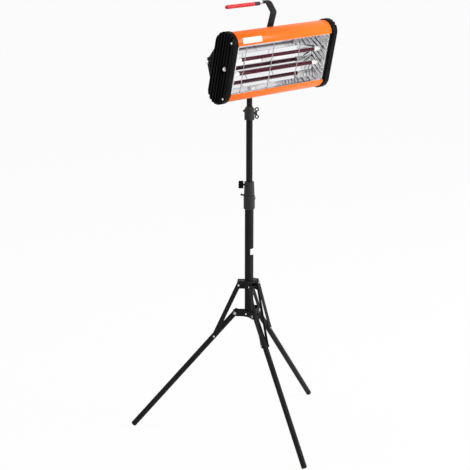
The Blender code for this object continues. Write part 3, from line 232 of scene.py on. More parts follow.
def arc(centre, radius, start, end, steps):
    turn = (end - start) / steps
    return [
        (centre[0] + radius * math.cos(start + turn * i), centre[1] + radius * math.sin(start + turn * i))
        for i in range(steps + 1)
    ]


def corners(inner, outer, low, high):
    return [(inner, low), (outer, low), (outer, high), (inner, high)]


def hexagon(radius):
    return arc((0, 0), radius, 0, math.tau, 6)[:-1]


def softCorners(points, radius, steps=4, closed=False):
    # each corner becomes a short curve that starts and ends on its two sides
    points = [Vector(p) for p in points]
    count = len(points)
    made = []
    for i, corner in enumerate(points):
        if not closed and i in (0, count - 1):
            made.append(tuple(corner))
            continue
        before = points[i - 1] - corner
        after = points[(i + 1) % count] - corner
        reach = min(radius, before.length * cornerShare, after.length * cornerShare)
        first = corner + before.normalized() * reach
        last = corner + after.normalized() * reach
        for step in range(steps + 1):
            t = step / steps
            made.append(tuple(first * (1 - t) ** 2 + corner * 2 * t * (1 - t) + last * t ** 2))
    return made


def linked(name, mesh):
    made = bpy.data.objects.new(name, mesh)
    bpy.context.scene.collection.objects.link(made)
    return made


def objectFrom(shape, name, outwards=True):
    bmesh.ops.remove_doubles(shape, verts=shape.verts, dist=merge)
    if outwards:
        bmesh.ops.recalc_face_normals(shape, faces=shape.faces)
    mesh = bpy.data.meshes.new(name)
    shape.to_mesh(mesh)
    shape.free()
    return linked(name, mesh)


def lathe(name, profile, steps=64, closed=False):
    # profile points are (radius, height) and turn round Z
    shape = bmesh.new()
    rings = []
    turn = math.tau / steps
    for radius, height in profile:
        count = steps if radius else 1
        rings.append([shape.verts.new((*plan(turn * i, radius), height)) for i in range(count)])
    pairs = list(zip(rings, rings[1:]))
    if closed:
        pairs.append((rings[-1], rings[0]))
    for low, high in pairs:
        for i in range(steps):
            j = (i + 1) % steps
            if len(low) == 1 and len(high) == 1:
                break
            if len(low) == 1:
                shape.faces.new((low[0], high[i], high[j]))
            elif len(high) == 1:
                shape.faces.new((low[i], low[j], high[0]))
            else:
                shape.faces.new((low[i], low[j], high[j], high[i]))
    return objectFrom(shape, name)


def prism(name, outline, low, high):
    # outline in X and Y, pulled along Z
    shape = bmesh.new()
    floor, roof = [[shape.verts.new((a, b, c)) for a, b in outline] for c in (low, high)]
    shape.faces.new(floor)
    shape.faces.new(roof)
    for i in range(len(outline)):
        j = (i + 1) % len(outline)
        shape.faces.new((floor[i], floor[j], roof[j], roof[i]))
    return objectFrom(shape, name)


def bake(piece):
    # what the modifiers make becomes the plain mesh
    bpy.context.view_layer.update()
    graph = bpy.context.evaluated_depsgraph_get()
    mesh = bpy.data.meshes.new_from_object(piece.evaluated_get(graph))
    piece.modifiers.clear()
    old = piece.data
    piece.data = mesh
    bpy.data.meshes.remove(old)


def thicken(piece, thickness):
    wall = piece.modifiers.new("wall", "SOLIDIFY")
    wall.thickness = thickness
    wall.offset = 0
    wall.use_even_offset = True
    bake(piece)


def ribbon(name, first, second):
    # one row of faces between two rows of points
    shape = bmesh.new()
    rows = [[shape.verts.new(p) for p in points] for points in (first, second)]
    for i in range(len(first) - 1):
        shape.faces.new((rows[0][i], rows[0][i + 1], rows[1][i + 1], rows[1][i]))
    return objectFrom(shape, name, False)


def openSheet(name, path, width, thickness):
    piece = ribbon(name, *[[(a, b, c) for a, b in path] for c in (-width / 2, width / 2)])
    thicken(piece, thickness)
    return piece


def cube(name, low, high):
    shape = bmesh.new()
    bmesh.ops.create_cube(shape, size=1)
    bmesh.ops.scale(shape, verts=shape.verts, vec=Vector(high) - Vector(low))
    bmesh.ops.translate(shape, verts=shape.verts, vec=(Vector(high) + Vector(low)) / 2)
    return objectFrom(shape, name)


def polyLine(name, points):
    mesh = bpy.data.meshes.new(name)
    mesh.from_pydata(points, [(i, i + 1) for i in range(len(points) - 1)], [])
    return linked(name, mesh)


def bevel(piece, width, angle, segments=2):
    edge = piece.modifiers.new("edges", "BEVEL")
    edge.width = width
    edge.segments = segments
    edge.limit_method = "ANGLE"
    edge.angle_limit = math.radians(angle)
    bake(piece)


def joinShapes(piece, tool, operation="DIFFERENCE"):
    change = piece.modifiers.new("shape", "BOOLEAN")
    change.operation = operation
    change.solver = "EXACT"
    change.object = tool
    bake(piece)
    bpy.data.objects.remove(tool)


def moved(piece, place):
    piece.data.transform(place)
    if place.determinant() < 0:
        piece.data.flip_normals()
    return piece


def settle(piece, body, slot, place, *nodes, material=None, sharp=35):
    # plain mesh in its place, smooth but for its sharp edges, riding its body
    if place is not None:
        moved(piece, place)
    mesh = piece.data
    mesh.materials.clear()
    mesh.materials.append(materials[material or slot])
    mesh.shade_smooth()
    mesh.set_sharp_from_angle(angle=math.radians(sharp))
    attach(piece, body)
    if nodes:
        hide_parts(*nodes)


# Geometry Nodes tools

def startTree(name, floats=(), **others):
    # every tree takes its host and a material, and others name sockets of other kinds
    tree = bpy.data.node_groups.new(name, "GeometryNodeTree")
    kinds = {"Geometry": "Geometry", **{label: "Float" for label in floats}, **others, "Material": "Material"}
    for label, kind in kinds.items():
        tree.interface.new_socket(label, in_out="INPUT", socket_type="NodeSocket" + kind)
    tree.interface.new_socket("Geometry", in_out="OUTPUT", socket_type="NodeSocketGeometry")
    return tree, addNode(tree, "NodeGroupInput").outputs


def geo(tree, kind, values, **settings):
    return addNode(tree, "GeometryNode" + kind, values, **settings).outputs[0]


def repeated(tree, points, piece, **more):
    copies = geo(tree, "InstanceOnPoints", {"Points": points, "Instance": piece, **more})
    return geo(tree, "RealizeInstances", {"Geometry": copies})


def endTree(tree, geometry, start):
    real = geo(tree, "RealizeInstances", {"Geometry": geometry})
    painted = geo(tree, "SetMaterial", {"Geometry": real, "Material": start["Material"]})
    tree.links.new(painted, addNode(tree, "NodeGroupOutput").inputs[0])
    return tree


def endCutTree(tree, tools, start):
    meshes = {"Mesh 1": start["Geometry"], "Mesh 2": tools}
    return endTree(tree, geo(tree, "MeshBoolean", meshes, operation="DIFFERENCE", solver="EXACT"), start)


def runTree(piece, tree, material, **values):
    change = piece.modifiers.new("nodes", "NODES")
    change.node_group = tree
    values["Material"] = materials[material]
    for item in tree.interface.items_tree:
        if item.in_out == "INPUT" and item.name in values:
            change[item.identifier] = values[item.name]
    bake(piece)


def wireTree():
    # a path made into round wire, repeated along X
    tree, start = startTree("bentWires", ("Radius", "Bend", "Pitch"), Count="Int")
    curve = geo(tree, "MeshToCurve", {"Mesh": start["Geometry"]})
    fillet = geo(tree, "FilletCurve", {"Curve": curve, "Radius": start["Bend"], "Count": 6}, mode="POLY")
    ring = geo(tree, "CurvePrimitiveCircle", {"Resolution": 14, "Radius": start["Radius"]})
    wire = geo(tree, "CurveToMesh", {"Curve": fillet, "Profile Curve": ring, "Fill Caps": True})
    offset = vectorNode(tree, X=start["Pitch"])
    row = geo(tree, "MeshLine", {"Count": start["Count"], "Offset": offset}, mode="OFFSET")
    return endTree(tree, repeated(tree, row, wire), start)


def coilTree():
    # a helix of fine wire along Z with its support rings
    tree, start = startTree("heatingCoil", ("Turns", "Radius", "Length", "Wire", "Hoop"), Rings="Int")
    helix = geo(tree, "CurveSpiral", {
        "Resolution": 8, "Rotations": start["Turns"], "Start Radius": start["Radius"],
        "End Radius": start["Radius"], "Height": start["Length"],
    })
    section = geo(tree, "CurvePrimitiveCircle", {"Resolution": 5, "Radius": start["Wire"]})
    wire = geo(tree, "CurveToMesh", {"Curve": helix, "Profile Curve": section, "Fill Caps": True})
    circle = geo(tree, "CurvePrimitiveCircle", {"Resolution": 20, "Radius": start["Hoop"]})
    hoop = geo(tree, "CurveToMesh", {"Curve": circle, "Profile Curve": section})
    pitch = mathNode(tree, "DIVIDE", start["Length"], mathNode(tree, "SUBTRACT", start["Rings"], 1))
    row = geo(tree, "MeshLine", {"Count": start["Rings"], "Offset": vectorNode(tree, Z=pitch)}, mode="OFFSET")
    both = addNode(tree, "GeometryNodeJoinGeometry")
    for part in (wire, repeated(tree, row, hoop)):
        tree.links.new(part, both.inputs[0])
    return endTree(tree, both.outputs[0], start)


def grooveTree():
    # parallel grooves, counted along X, cut into the host's upper face
    tree, start = startTree("castGrooves", ("First", "Pitch", "Width", "Depth", "Length", "Face"), Count="Int")
    deep = mathNode(tree, "MULTIPLY", start["Depth"], 2)
    size = vectorNode(tree, X=start["Width"], Y=start["Length"], Z=deep)
    row = geo(tree, "MeshLine", {
        "Count": start["Count"], "Start Location": vectorNode(tree, X=start["First"], Z=start["Face"]),
        "Offset": vectorNode(tree, X=start["Pitch"]),
    }, mode="OFFSET")
    return endCutTree(tree, repeated(tree, row, geo(tree, "MeshCube", {"Size": size})), start)


def fluteTree():
    # grip flutes cut round the edge of a knob that stands along Z
    tree, start = startTree("knobFlutes", ("Circle", "Flute", "Bottom", "Top"), Count="Int")
    circle = geo(tree, "MeshCircle", {"Vertices": start["Count"], "Radius": start["Circle"]})
    height = mathNode(tree, "SUBTRACT", start["Top"], start["Bottom"])
    bar = geo(tree, "MeshCylinder", {"Vertices": 14, "Radius": start["Flute"], "Depth": height})
    lift = vectorNode(tree, Z=mathNode(tree, "MULTIPLY_ADD", height, 0.5, start["Bottom"]))
    raised = geo(tree, "Transform", {"Geometry": repeated(tree, circle, bar), "Translation": lift})
    return endCutTree(tree, raised, start)


def screwTree():
    # one screw, turned out of a template, at each point of the host
    tree, start = startTree("placedScrews", Screw="Object", Turn="Vector")
    template = addNode(tree, "GeometryNodeObjectInfo", {"Object": start["Screw"]}).outputs["Geometry"]
    turn = addNode(tree, "FunctionNodeEulerToRotation")
    tree.links.new(start["Turn"], turn.inputs[0])
    return endTree(tree, repeated(tree, start["Geometry"], template, Rotation=turn.outputs[0]), start)


# Column

column = {
    "lower": {"radius": 0.015, "wall": 0.0015, "bottom": 0.4175, "top": 0.838, "body": "stand"},
    "middle": {"radius": 0.011, "wall": 0.0012, "bottom": 0.600, "top": 1.140, "body": "middle_mast"},
    "top": {"radius": 0.0095, "wall": 0.0015, "bottom": 0.900, "top": 1.336, "body": "top_mast"},
    "rim": 0.0004,
}


def makeTubes():
    for name in ("lower", "middle", "top"):
        size = column[name]
        ring = corners(size["radius"] - size["wall"], size["radius"], size["bottom"], size["top"])
        tube = lathe(name + "Tube", softCorners(ring, column["rim"], 3, True), 64, True)
        settle(tube, size["body"], "black_enamel", None, name + "_tube")


makeTubes()
print("column tubes made")


# Clamp of the lower tube

coupler = {
    "bore": 0.0153, "outer": 0.0194, "bottom": 0.7974, "chamfer": 0.003, "split": 0.8453, "soft": 0.0008,
    "midBore": 0.0113, "seat": 0.8383, "upperOuter": 0.0182, "topOuter": 0.0165, "top": 0.8930, "edge": 0.002,
    "knobHeight": 0.8825, "knobRadius": 0.0132, "knobLength": 0.0170, "knobStandoff": 0.0030, "stud": 0.003,
    "knobSoft": 0.003, "dish": 0.00726, "dishEdge": 0.0008, "dishDepth": 0.0012, "knobEdge": 0.0004,
    "flutes": 8, "fluteRadius": 0.0026, "fluteOut": 0.0004, "fluteStart": 0.002, "fluteOver": 0.004,
}


def makeCoupler():
    c = coupler
    lower = [
        (c["bore"], c["bottom"]), (c["outer"] - c["chamfer"], c["bottom"]),
        (c["outer"], c["bottom"] + c["chamfer"]), (c["outer"], c["split"]),
        (c["midBore"], c["split"]), (c["midBore"], c["seat"]), (c["bore"], c["seat"]),
    ]
    piece = lathe("couplerBase", softCorners(lower, c["soft"], 3, True), 72, True)
    settle(piece, "stand", "black_plastic", None, "coupler_base")
    start = c["split"] + gap
    upper = [(c["midBore"], start), (c["upperOuter"], start), (c["topOuter"], c["top"]), (c["midBore"], c["top"])]
    piece = lathe("couplerClamp", softCorners(upper, c["edge"], 4, True), 72, True)
    settle(piece, "stand", "black_plastic", None, "coupler_clamp")

    face = c["topOuter"] + c["knobStandoff"]
    far = face + c["knobLength"]
    profile = [(0, c["midBore"]), (c["stud"], c["midBore"]), (c["stud"], face)]
    rim = [(c["stud"], face), (c["knobRadius"], face), (c["knobRadius"], far), (c["dish"], far)]
    profile += softCorners(rim, c["knobSoft"], 5)[1:]
    profile += [(c["dish"] - c["dishEdge"], far - c["dishEdge"]), (0, far - c["dishDepth"])]
    knob = lathe("clampKnob", profile, 72)
    runTree(
        knob, fluteTree(), "black_plastic", Count=c["flutes"], Circle=c["knobRadius"] + c["fluteOut"],
        Flute=c["fluteRadius"], Bottom=face + c["fluteStart"], Top=far + c["fluteOver"],
    )
    bevel(knob, c["knobEdge"], 45)
    place = standing(places["clampAzimuth"] + math.pi, 0, c["knobHeight"]) @ lengthwise
    settle(knob, "knob", "black_plastic", place, "clamp_knob", material="black_casting")


makeCoupler()
print("clamp made")


# Collar of the middle tube with its wing screw

collar = {
    "outer": 0.017, "bottom": 1.1059, "shoulder": 1.1423, "top": 1.1508, "topRadius": 0.011, "soft": 0.0012,
    "bore": 0.0113, "topBore": 0.0098, "seat": 1.1403,
    "wingHeight": 1.1287, "wingReach": 0.0249, "wingHub": 0.0055, "stud": 0.003, "hubOver": 0.001, "hubSoft": 0.001,
    "loopRadius": 0.0054, "wireRadius": 0.0021, "spread": 0.0125, "armStart": 0.0018, "armShare": 0.7,
    "edge": 0.0004,
}


def makeCollar():
    c = collar
    profile = [
        (c["bore"], c["bottom"]), (c["outer"], c["bottom"]), (c["outer"], c["shoulder"]),
        (c["topRadius"], c["top"]), (c["topBore"], c["top"]), (c["topBore"], c["seat"]), (c["bore"], c["seat"]),
    ]
    piece = lathe("topCollar", softCorners(profile, c["soft"], 4, True), 72, True)
    settle(piece, "middle_mast", "black_plastic", None, "top_collar")

    face = c["outer"] + gap
    end = c["wingReach"] + c["hubOver"]
    hub = [(0, c["bore"]), (c["stud"], c["bore"]), (c["stud"], face)]
    hub += softCorners([(c["stud"], face), (c["wingHub"], face), (c["wingHub"], end), (0, end)], c["hubSoft"], 3)[1:]
    wing = lathe("wingScrew", hub, 32)
    thin = c["wireRadius"] * c["armShare"]
    for side in (-1, 1):
        section = arc((c["loopRadius"], 0), c["wireRadius"], 0, math.tau, 12)[:-1]
        loop = lathe("wingLoop", section, 32, True)
        moved(loop, shift(side * c["spread"], 0, c["wingReach"]) @ turned(quarter, "X"))
        joinShapes(wing, loop, "UNION")
        near, far = sorted((0.0, side * (c["spread"] - c["loopRadius"])))
        arm = cube("wingArm", (near, -thin, face + c["armStart"]), (far, thin, c["wingReach"] - thin))
        joinShapes(wing, arm, "UNION")
    bevel(wing, c["edge"], 50)
    place = standing(places["clampAzimuth"], 0, c["wingHeight"]) @ lengthwise
    settle(wing, "wing", "zinc_steel", place, "wing_screw", material="dark_steel")


makeCollar()
print("collar made")


# Legs

legs = {
    "radius": 0.0095, "wall": 0.0015, "slope": math.radians(49.43), "overhang": 0.014, "edge": 0.0004,
    "pivotRadius": 0.0482, "pivotHeight": 0.4275, "rim": 0.007, "round": 0.003, "spigot": 0.020, "pin": 0.003,
    "holeReach": 0.02,
}


def legPlace(azimuth):
    return standing(azimuth, legs["pivotRadius"], legs["pivotHeight"]) @ turned(legs["slope"], "Y")


def makeLegs():
    s = legs
    bore = s["radius"] - s["wall"]
    edge = s["radius"] - s["round"]
    endHeight = edge * math.cos(s["slope"]) + s["round"] * (1 - math.sin(s["slope"]))
    length = (s["pivotHeight"] - endHeight) / math.sin(s["slope"])
    for name, azimuth in places["legAzimuths"].items():
        place = legPlace(azimuth)
        ring = corners(bore, s["radius"], -s["overhang"], length - s["rim"] - gap)
        tube = moved(lathe(name + "Leg", softCorners(ring, s["edge"], 3, True), 48, True), lengthwise)
        hole = lathe("pinHole", corners(0, s["pin"] + gap, -s["holeReach"], s["holeReach"]), 24)
        joinShapes(tube, moved(hole, turned(quarter, "X")))
        settle(tube, name + "_leg", "black_enamel", place, "leg_" + name)

        profile = corners(0, bore - gap, -s["rim"] - s["spigot"], -s["rim"])[:3] + [(s["radius"], -s["rim"])]
        profile += arc((edge, -s["round"]), s["round"], 0, quarter, 6) + [(0, 0)]
        end = place @ shift(length, 0, 0) @ lengthwise
        plug = lathe(name + "Plug", profile, 48)
        settle(plug, name + "_leg", "black_plastic", end, "leg_plug_" + name, material="foot_rubber")


makeLegs()
print("legs made")


# Housing

housing = {
    "length": 0.4494, "wall": 0.0012, "round": 0.037, "centreForward": 0.070, "lobe": 0.079,
    "lipHeight": 0.081, "lipDepth": 0.011, "steps": 40, "bend": 0.0018, "edge": 0.0003,
    "glandHole": 0.004, "glandSide": 0.070, "glandDrop": 0.050, "holeReach": 0.004,
}


def makeHousing():
    h = housing
    middle = h["round"] - h["wall"] / 2
    lip = h["lipHeight"] + h["wall"] / 2
    turn = math.asin((lip - h["lobe"]) / middle)
    upper = [(-h["centreForward"] - h["round"] + h["lipDepth"], lip)]
    upper += arc((-h["centreForward"], h["lobe"]), middle, math.pi - turn, 0, h["steps"])
    upper = softCorners(upper[:3], h["bend"], 5)[:-1] + upper[2:]
    path = upper + [(a, -b) for a, b in reversed(upper)]
    shell = moved(openSheet("housingShell", path, h["length"], h["wall"]), sideways)
    hole = lathe("glandHole", corners(0, h["glandHole"], -h["holeReach"], h["holeReach"]), 32)
    back = h["round"] - h["centreForward"]
    joinShapes(shell, moved(hole, shift(h["glandSide"], back, -h["glandDrop"]) @ turned(quarter, "X")))
    bevel(shell, h["edge"], 60)
    settle(shell, "head", "orange_enamel", headPlace, "housing", sharp=50)


makeHousing()
print("housing made")


# End caps with their bolts and screws

endCap = {
    "inner": 0.225, "length": 0.025, "round": 0.041, "steps": 40, "edge": 0.0025,
    "grooves": 6, "pitch": 0.0117, "first": 0.0088, "width": 0.0062, "depth": 0.009, "run": 0.3, "ribEdge": 0.0007,
    "recess": 0.014, "boltForward": 0.080, "boltRadius": 0.0055, "boltHeight": 0.005, "boltEdge": 0.0006,
    "boltFoot": 0.001, "flange": 0.0012, "flangeShare": 1.25, "flangeSoft": 0.0003,
    "screwAngle": math.radians(25), "screwReach": 0.033, "screwRadius": 0.00375, "screwHeight": 0.0025,
    "crossArm": 0.6, "crossWidth": 0.13, "crossDepth": 0.45, "screwTurn": 0.4,
    "boss": 0.006, "bossFoot": 0.002, "bossRise": 0.0012, "over": 0.04,
}


def makeScrewHead():
    # pan head with a cross recess, standing along Z
    c = endCap
    radius = c["screwRadius"]
    top = c["screwHeight"]
    head = lathe("screwHead", softCorners(corners(0, radius, 0, top), top * c["crossDepth"], 5), 32)
    arm = (radius * c["crossArm"], radius * c["crossWidth"])
    for x, y in (arm, arm[::-1]):
        joinShapes(head, cube("slot", (-x, -y, top * c["crossDepth"]), (x, y, top * 2)))
    return head


def makeEndCaps():
    c = endCap
    h = housing
    centre = -h["centreForward"]
    outline = arc((centre, h["lobe"]), c["round"], 0, math.pi, c["steps"])
    outline += arc((centre, -h["lobe"]), c["round"], math.pi, math.tau, c["steps"])
    floor = c["length"] - c["depth"]
    seat = c["length"] - c["screwHeight"]
    screwForward = h["centreForward"] + c["screwReach"] * math.cos(c["screwAngle"])
    screwRise = h["lobe"] + c["screwReach"] * math.sin(c["screwAngle"])
    template = makeScrewHead()
    grooves = grooveTree()
    screws = screwTree()
    for side, mirror in mirrors.items():
        cap = prism(side + "Cap", outline, 0, c["length"])
        bevel(cap, c["edge"], 60, 4)
        runTree(
            cap, grooves, "black_casting", Count=c["grooves"], First=centre + c["round"] - c["first"],
            Pitch=-c["pitch"], Width=c["width"], Depth=c["depth"], Length=c["run"], Face=c["length"],
        )
        recess = lathe("recess", corners(0, c["recess"], floor, c["over"]), 48)
        joinShapes(cap, moved(recess, shift(-c["boltForward"], 0, 0)))
        for rise in (screwRise, -screwRise):
            spot = shift(-screwForward, rise, 0)
            boss = lathe("boss", corners(0, c["boss"], c["bossFoot"], seat + c["bossRise"]), 32)
            joinShapes(cap, moved(boss, spot), "UNION")
            sink = lathe("sink", corners(0, c["screwRadius"] + gap, seat, c["over"]), 32)
            joinShapes(cap, moved(sink, spot))
        bevel(cap, c["ribEdge"], 50)
        place = headPlace @ mirror @ shift(c["inner"], 0, 0) @ sideways
        settle(cap, "head", "black_casting", place, "end_cap_" + side, sharp=40)

        bolt = prism(side + "CapBolt", hexagon(c["boltRadius"]), c["boltFoot"], c["boltHeight"] - c["boltEdge"])
        bevel(bolt, c["boltEdge"], 30, 3)
        flange = softCorners(corners(0, c["boltRadius"] * c["flangeShare"], 0, c["flange"]), c["flangeSoft"], 3)
        joinShapes(bolt, lathe("flange", flange, 40), "UNION")
        spot = shift(-c["boltForward"], 0, floor + gap)
        settle(bolt, "head", "chrome", place @ spot, "cap_bolt_" + side)

        host = polyLine(side + "CapScrews", [(-screwForward, y, seat + gap) for y in (screwRise, -screwRise)])
        runTree(host, screws, "chrome", Screw=template, Turn=(0, 0, c["screwTurn"]))
        settle(host, "head", "chrome", place, "cap_screw_upper_" + side, "cap_screw_lower_" + side)
    bpy.data.objects.remove(template)


makeEndCaps()
print("end caps made")


# Reflector and its end plates

reflector = {
    "halfLength": 0.2145, "sheet": 0.001, "facets": 8, "depth": 0.054, "lip": 0.008, "bend": 0.0012,
    "edge": 0.0802, "front": 0.104, "plateSheet": 0.001, "flangeEnd": 0.2247, "flangeRoom": 0.002,
    "ridges": 10, "extraRidges": 2, "ridgeRise": 0.0018, "ridgeSlope": math.radians(27.5), "ridgeMiddle": -0.08,
    "ridgeEnds": (-0.11, -0.04), "crest": 0.0007, "crestRound": 0.0001, "crestHalf": 0.08,
    "shoulder": 0.4, "crease": 0.0031, "creaseDepth": 0.0009, "darkFrom": 0.00009, "lightFront": 0.003,
    "plateReach": 0.006,
}


def reflectorPath():
    r = reflector
    start = r["front"] - r["lip"]
    points = [(-r["front"], r["edge"])]
    for i in range(r["facets"] + 1):
        angle = quarter - math.pi * i / r["facets"]
        points.append((-(start - r["depth"] * math.cos(angle)), r["edge"] * math.sin(angle)))
    points.append((-r["front"], -r["edge"]))
    return points


def ridgePath(start, pitch):
    # heights and depths across the ridges, with a narrow crease between each two
    r = reflector
    crest = start - r["crest"]
    shoulder = start - r["crest"] * r["shoulder"]
    path = []
    for i in range(-r["extraRidges"], r["ridges"] + r["extraRidges"] + 1):
        height = -r["edge"] + pitch * i
        for step, x in (
            (-r["crease"], shoulder), (0, start + r["creaseDepth"]), (r["crease"], shoulder),
            (pitch * (0.5 - r["crestHalf"]), crest + r["crestRound"]), (pitch / 2, crest),
            (pitch * (0.5 + r["crestHalf"]), crest + r["crestRound"]),
        ):
            path.append((height + step, x))
    return path


def makeReflector():
    r = reflector
    path = softCorners(reflectorPath(), r["bend"], 3)
    trough = openSheet("reflectorTrough", path, 2 * r["halfLength"], r["sheet"])
    settle(trough, "head", "polished_aluminium", headPlace @ sideways, "reflector", sharp=12)

    start = r["halfLength"] + gap + r["ridgeRise"]
    path = ridgePath(start, 2 * r["edge"] / r["ridges"])
    slant = math.tan(r["ridgeSlope"])
    rows = [[(x, y, height + slant * (y - r["ridgeMiddle"])) for height, x in path] for y in r["ridgeEnds"]]
    for side, mirror in mirrors.items():
        plate = ribbon(side + "EndPlate", *rows)
        thicken(plate, r["plateSheet"])
        outline = prism("plateOutline", reflectorPath(), start - r["plateReach"], start + r["plateReach"])
        joinShapes(plate, moved(outline, sideways), "INTERSECT")
        top = r["edge"] - r["flangeRoom"]
        flange = cube(
            "flange", (start - r["plateSheet"], -r["front"], -top),
            (r["flangeEnd"], -r["front"] + r["plateSheet"], top),
        )
        joinShapes(plate, flange, "UNION")
        # painted shade mask: 1 on the crease bottoms behind the front flange and 0 elsewhere, so the material darkens
        # the creases as if they were shaded
        shade = plate.data.attributes.new("crease", "FLOAT", "POINT")
        for value, point in zip(shade.data, plate.data.vertices):
            deep = point.co.x > start + r["darkFrom"]
            value.value = float(deep and point.co.y > -r["front"] + r["lightFront"])
        place = headPlace @ mirror
        settle(plate, "head", "polished_aluminium", place, "reflector_end_" + side, material="end_plate", sharp=25)


makeReflector()
print("reflector made")


# Lamps, their coils and holders

lamp = {
    "spacing": 0.048, "forward": 0.080, "radius": 0.0059, "wall": 0.0011, "half": 0.1867, "pinch": 0.0025,
    "soft": 0.001, "boreTip": 0.006, "boreEnd": 0.009,
    "coilRadius": 0.0013, "coilWire": 0.00022, "turns": 110.0, "coilHalf": 0.165, "rings": 12,
    "holderStart": 0.175, "holderEnd": 0.2145, "seal": 0.012, "holderRadius": 0.0075, "holderSoft": 0.0012,
    "neckRadius": 0.0055, "neckLength": 0.014,
}


def makeLamps():
    s = lamp
    bore = s["radius"] + gap
    inner = s["radius"] - s["wall"]
    half = s["half"]
    outside = [(0, -half), (s["pinch"], -half), (s["radius"], -half + s["pinch"])]
    outside += [(s["radius"], half - s["pinch"]), (s["pinch"], half), (0, half)]
    inside = [(0, s["boreTip"] - half), (inner, s["boreEnd"] - half)]
    inside += [(inner, half - s["boreEnd"]), (0, half - s["boreTip"])]
    neck = s["holderEnd"] - s["neckLength"]
    seal = s["holderStart"] + s["seal"]
    holder = [
        (0, seal), (bore, seal), (bore, s["holderStart"]), (s["holderRadius"], s["holderStart"]),
        (s["holderRadius"], neck), (s["neckRadius"], neck), (s["neckRadius"], s["holderEnd"]),
        (0, s["holderEnd"]),
    ]
    coils = coilTree()
    for level, rise in (("upper", s["spacing"] / 2), ("lower", -s["spacing"] / 2)):
        centre = headPlace @ shift(0, -s["forward"], rise)
        along = centre @ lengthwise
        glass = lathe(level + "Lamp", softCorners(outside, s["soft"], 3), 40)
        joinShapes(glass, lathe("lampBore", inside, 40))
        settle(glass, "head", "ruby_quartz", along, "quartz_lamp_" + level)

        # the tree puts the coil in the place of this host line
        coil = polyLine(level + "Coil", [(0, 0, 0), (0, 0, 0.001)])
        runTree(
            coil, coils, "filament", Turns=s["turns"], Radius=s["coilRadius"], Length=2 * s["coilHalf"],
            Wire=s["coilWire"], Rings=s["rings"], Hoop=inner - gap,
        )
        settle(coil, "head", "zinc_steel", along @ shift(0, 0, -s["coilHalf"]), material="filament")
        for side, turn in sideTurns.items():
            ceramic = lathe(level + "Holder" + side.capitalize(), softCorners(holder, s["holderSoft"], 4), 40)
            settle(ceramic, "head", "white_ceramic", centre @ turn, f"lamp_holder_{level}_{side}")


makeLamps()
print("lamps made")


# Guard wires

guard = {
    "radius": 0.00125, "first": -0.180, "pitch": 0.128, "count": 3, "tail": 0.006, "forward": 0.10425,
    "top": 0.07815, "bend": 0.0022,
}


def makeGuard():
    g = guard
    near, far = -g["forward"], -g["forward"] + g["tail"]
    bends = ((far, g["top"]), (near, g["top"]), (near, -g["top"]), (far, -g["top"]))
    wire = polyLine("guardWires", [(g["first"], *bend) for bend in bends])
    runTree(
        wire, wireTree(), "chrome", Radius=g["radius"], Bend=g["bend"], Count=g["count"], Pitch=g["pitch"],
    )
    nodes = [f"guard_wire_{i + 1}" for i in range(g["count"])]
    settle(wire, "head", "chrome", headPlace, *nodes, material="zinc_steel")


makeGuard()
print("guard made")


# Blank labels

label = {
    "from": -0.200, "to": -0.113, "low": math.radians(14), "high": math.radians(42.5), "corner": 0.0022,
    "lift": 0.0001, "film": 0.00012, "cells": 24,
}
sticker = {"low": 0.639, "high": 0.660, "half": math.radians(42), "azimuth": math.radians(-79.3), "corner": 0.0015}


def roundedPatch(name, width, height, corner, place):
    # a flat rounded rectangle cut into a grid, wrapped by place(u, v, w)
    outline = softCorners(corners(0, width, 0, height), corner, 5, True)
    flat = prism(name, outline, 0, label["film"])
    shape = bmesh.new()
    shape.from_mesh(flat.data)
    for i in range(1, label["cells"]):
        share = i / label["cells"]
        for spot, normal in (((0, height * share, 0), (0, 1, 0)), ((width * share, 0, 0), (1, 0, 0))):
            whole = shape.verts[:] + shape.edges[:] + shape.faces[:]
            bmesh.ops.bisect_plane(shape, geom=whole, plane_co=spot, plane_no=normal)
    for point in shape.verts:
        point.co = place(*point.co)
    bmesh.ops.recalc_face_normals(shape, faces=shape.faces)
    shape.to_mesh(flat.data)
    shape.free()
    return flat


def makeLabels():
    outer = housing["round"]
    radius = column["lower"]["radius"]

    def onHousing(u, v, w):
        out, up = plan(label["low"] + v / outer, outer + label["lift"] + w)
        return (label["from"] + u, -housing["centreForward"] - out, housing["lobe"] + up)

    def onTube(u, v, w):
        angle = sticker["azimuth"] - sticker["half"] + u / radius
        return (*plan(angle, radius + label["lift"] + w), sticker["low"] + v)

    height = (label["high"] - label["low"]) * outer
    patch = roundedPatch("housingLabel", label["to"] - label["from"], height, label["corner"], onHousing)
    settle(patch, "head", "white_ceramic", headPlace, material="label")
    width = 2 * sticker["half"] * radius
    patch = roundedPatch("tubeSticker", width, sticker["high"] - sticker["low"], sticker["corner"], onTube)
    settle(patch, "stand", "white_ceramic", None, material="label")


makeLabels()
print("labels made")


# Tilt bolts and washers

tiltBolt = {
    "face": 0.225, "washer": 0.008, "washerLength": 0.008, "washerSoft": 0.0012, "nut": 0.0065,
    "nutLength": 0.013, "edge": 0.0005, "dome": 0.00559, "foot": 0.001, "shank": 0.004, "inner": 0.2124,
}


def makeTiltBolts():
    s = tiltBolt
    end = s["face"] + s["washerLength"]
    base = end + gap
    top = base + s["nutLength"] - s["nut"]
    for side, turn in sideTurns.items():
        place = shift(*places["tiltAxis"]) @ turn
        ring = softCorners(corners(s["shank"] + gap, s["washer"], s["face"], end), s["washerSoft"], 4, True)
        washer = lathe(side + "TiltWasher", ring, 48, True)
        settle(washer, "yoke", "black_plastic", place, "tilt_washer_" + side)

        nut = prism(side + "TiltBolt", hexagon(s["nut"]), base, top)
        bevel(nut, s["edge"], 30, 3)
        profile = corners(0, s["shank"], s["inner"], base + s["foot"])[:3]
        profile += [(s["dome"], base + s["foot"]), (s["dome"], top)]
        profile += arc((0, top), s["dome"], 0, quarter, 10)[1:]
        joinShapes(nut, lathe("dome", profile, 40), "UNION")
        settle(nut, "yoke", "chrome", place, "tilt_bolt_" + side)


makeTiltBolts()
print("tilt bolts made")


# Handle

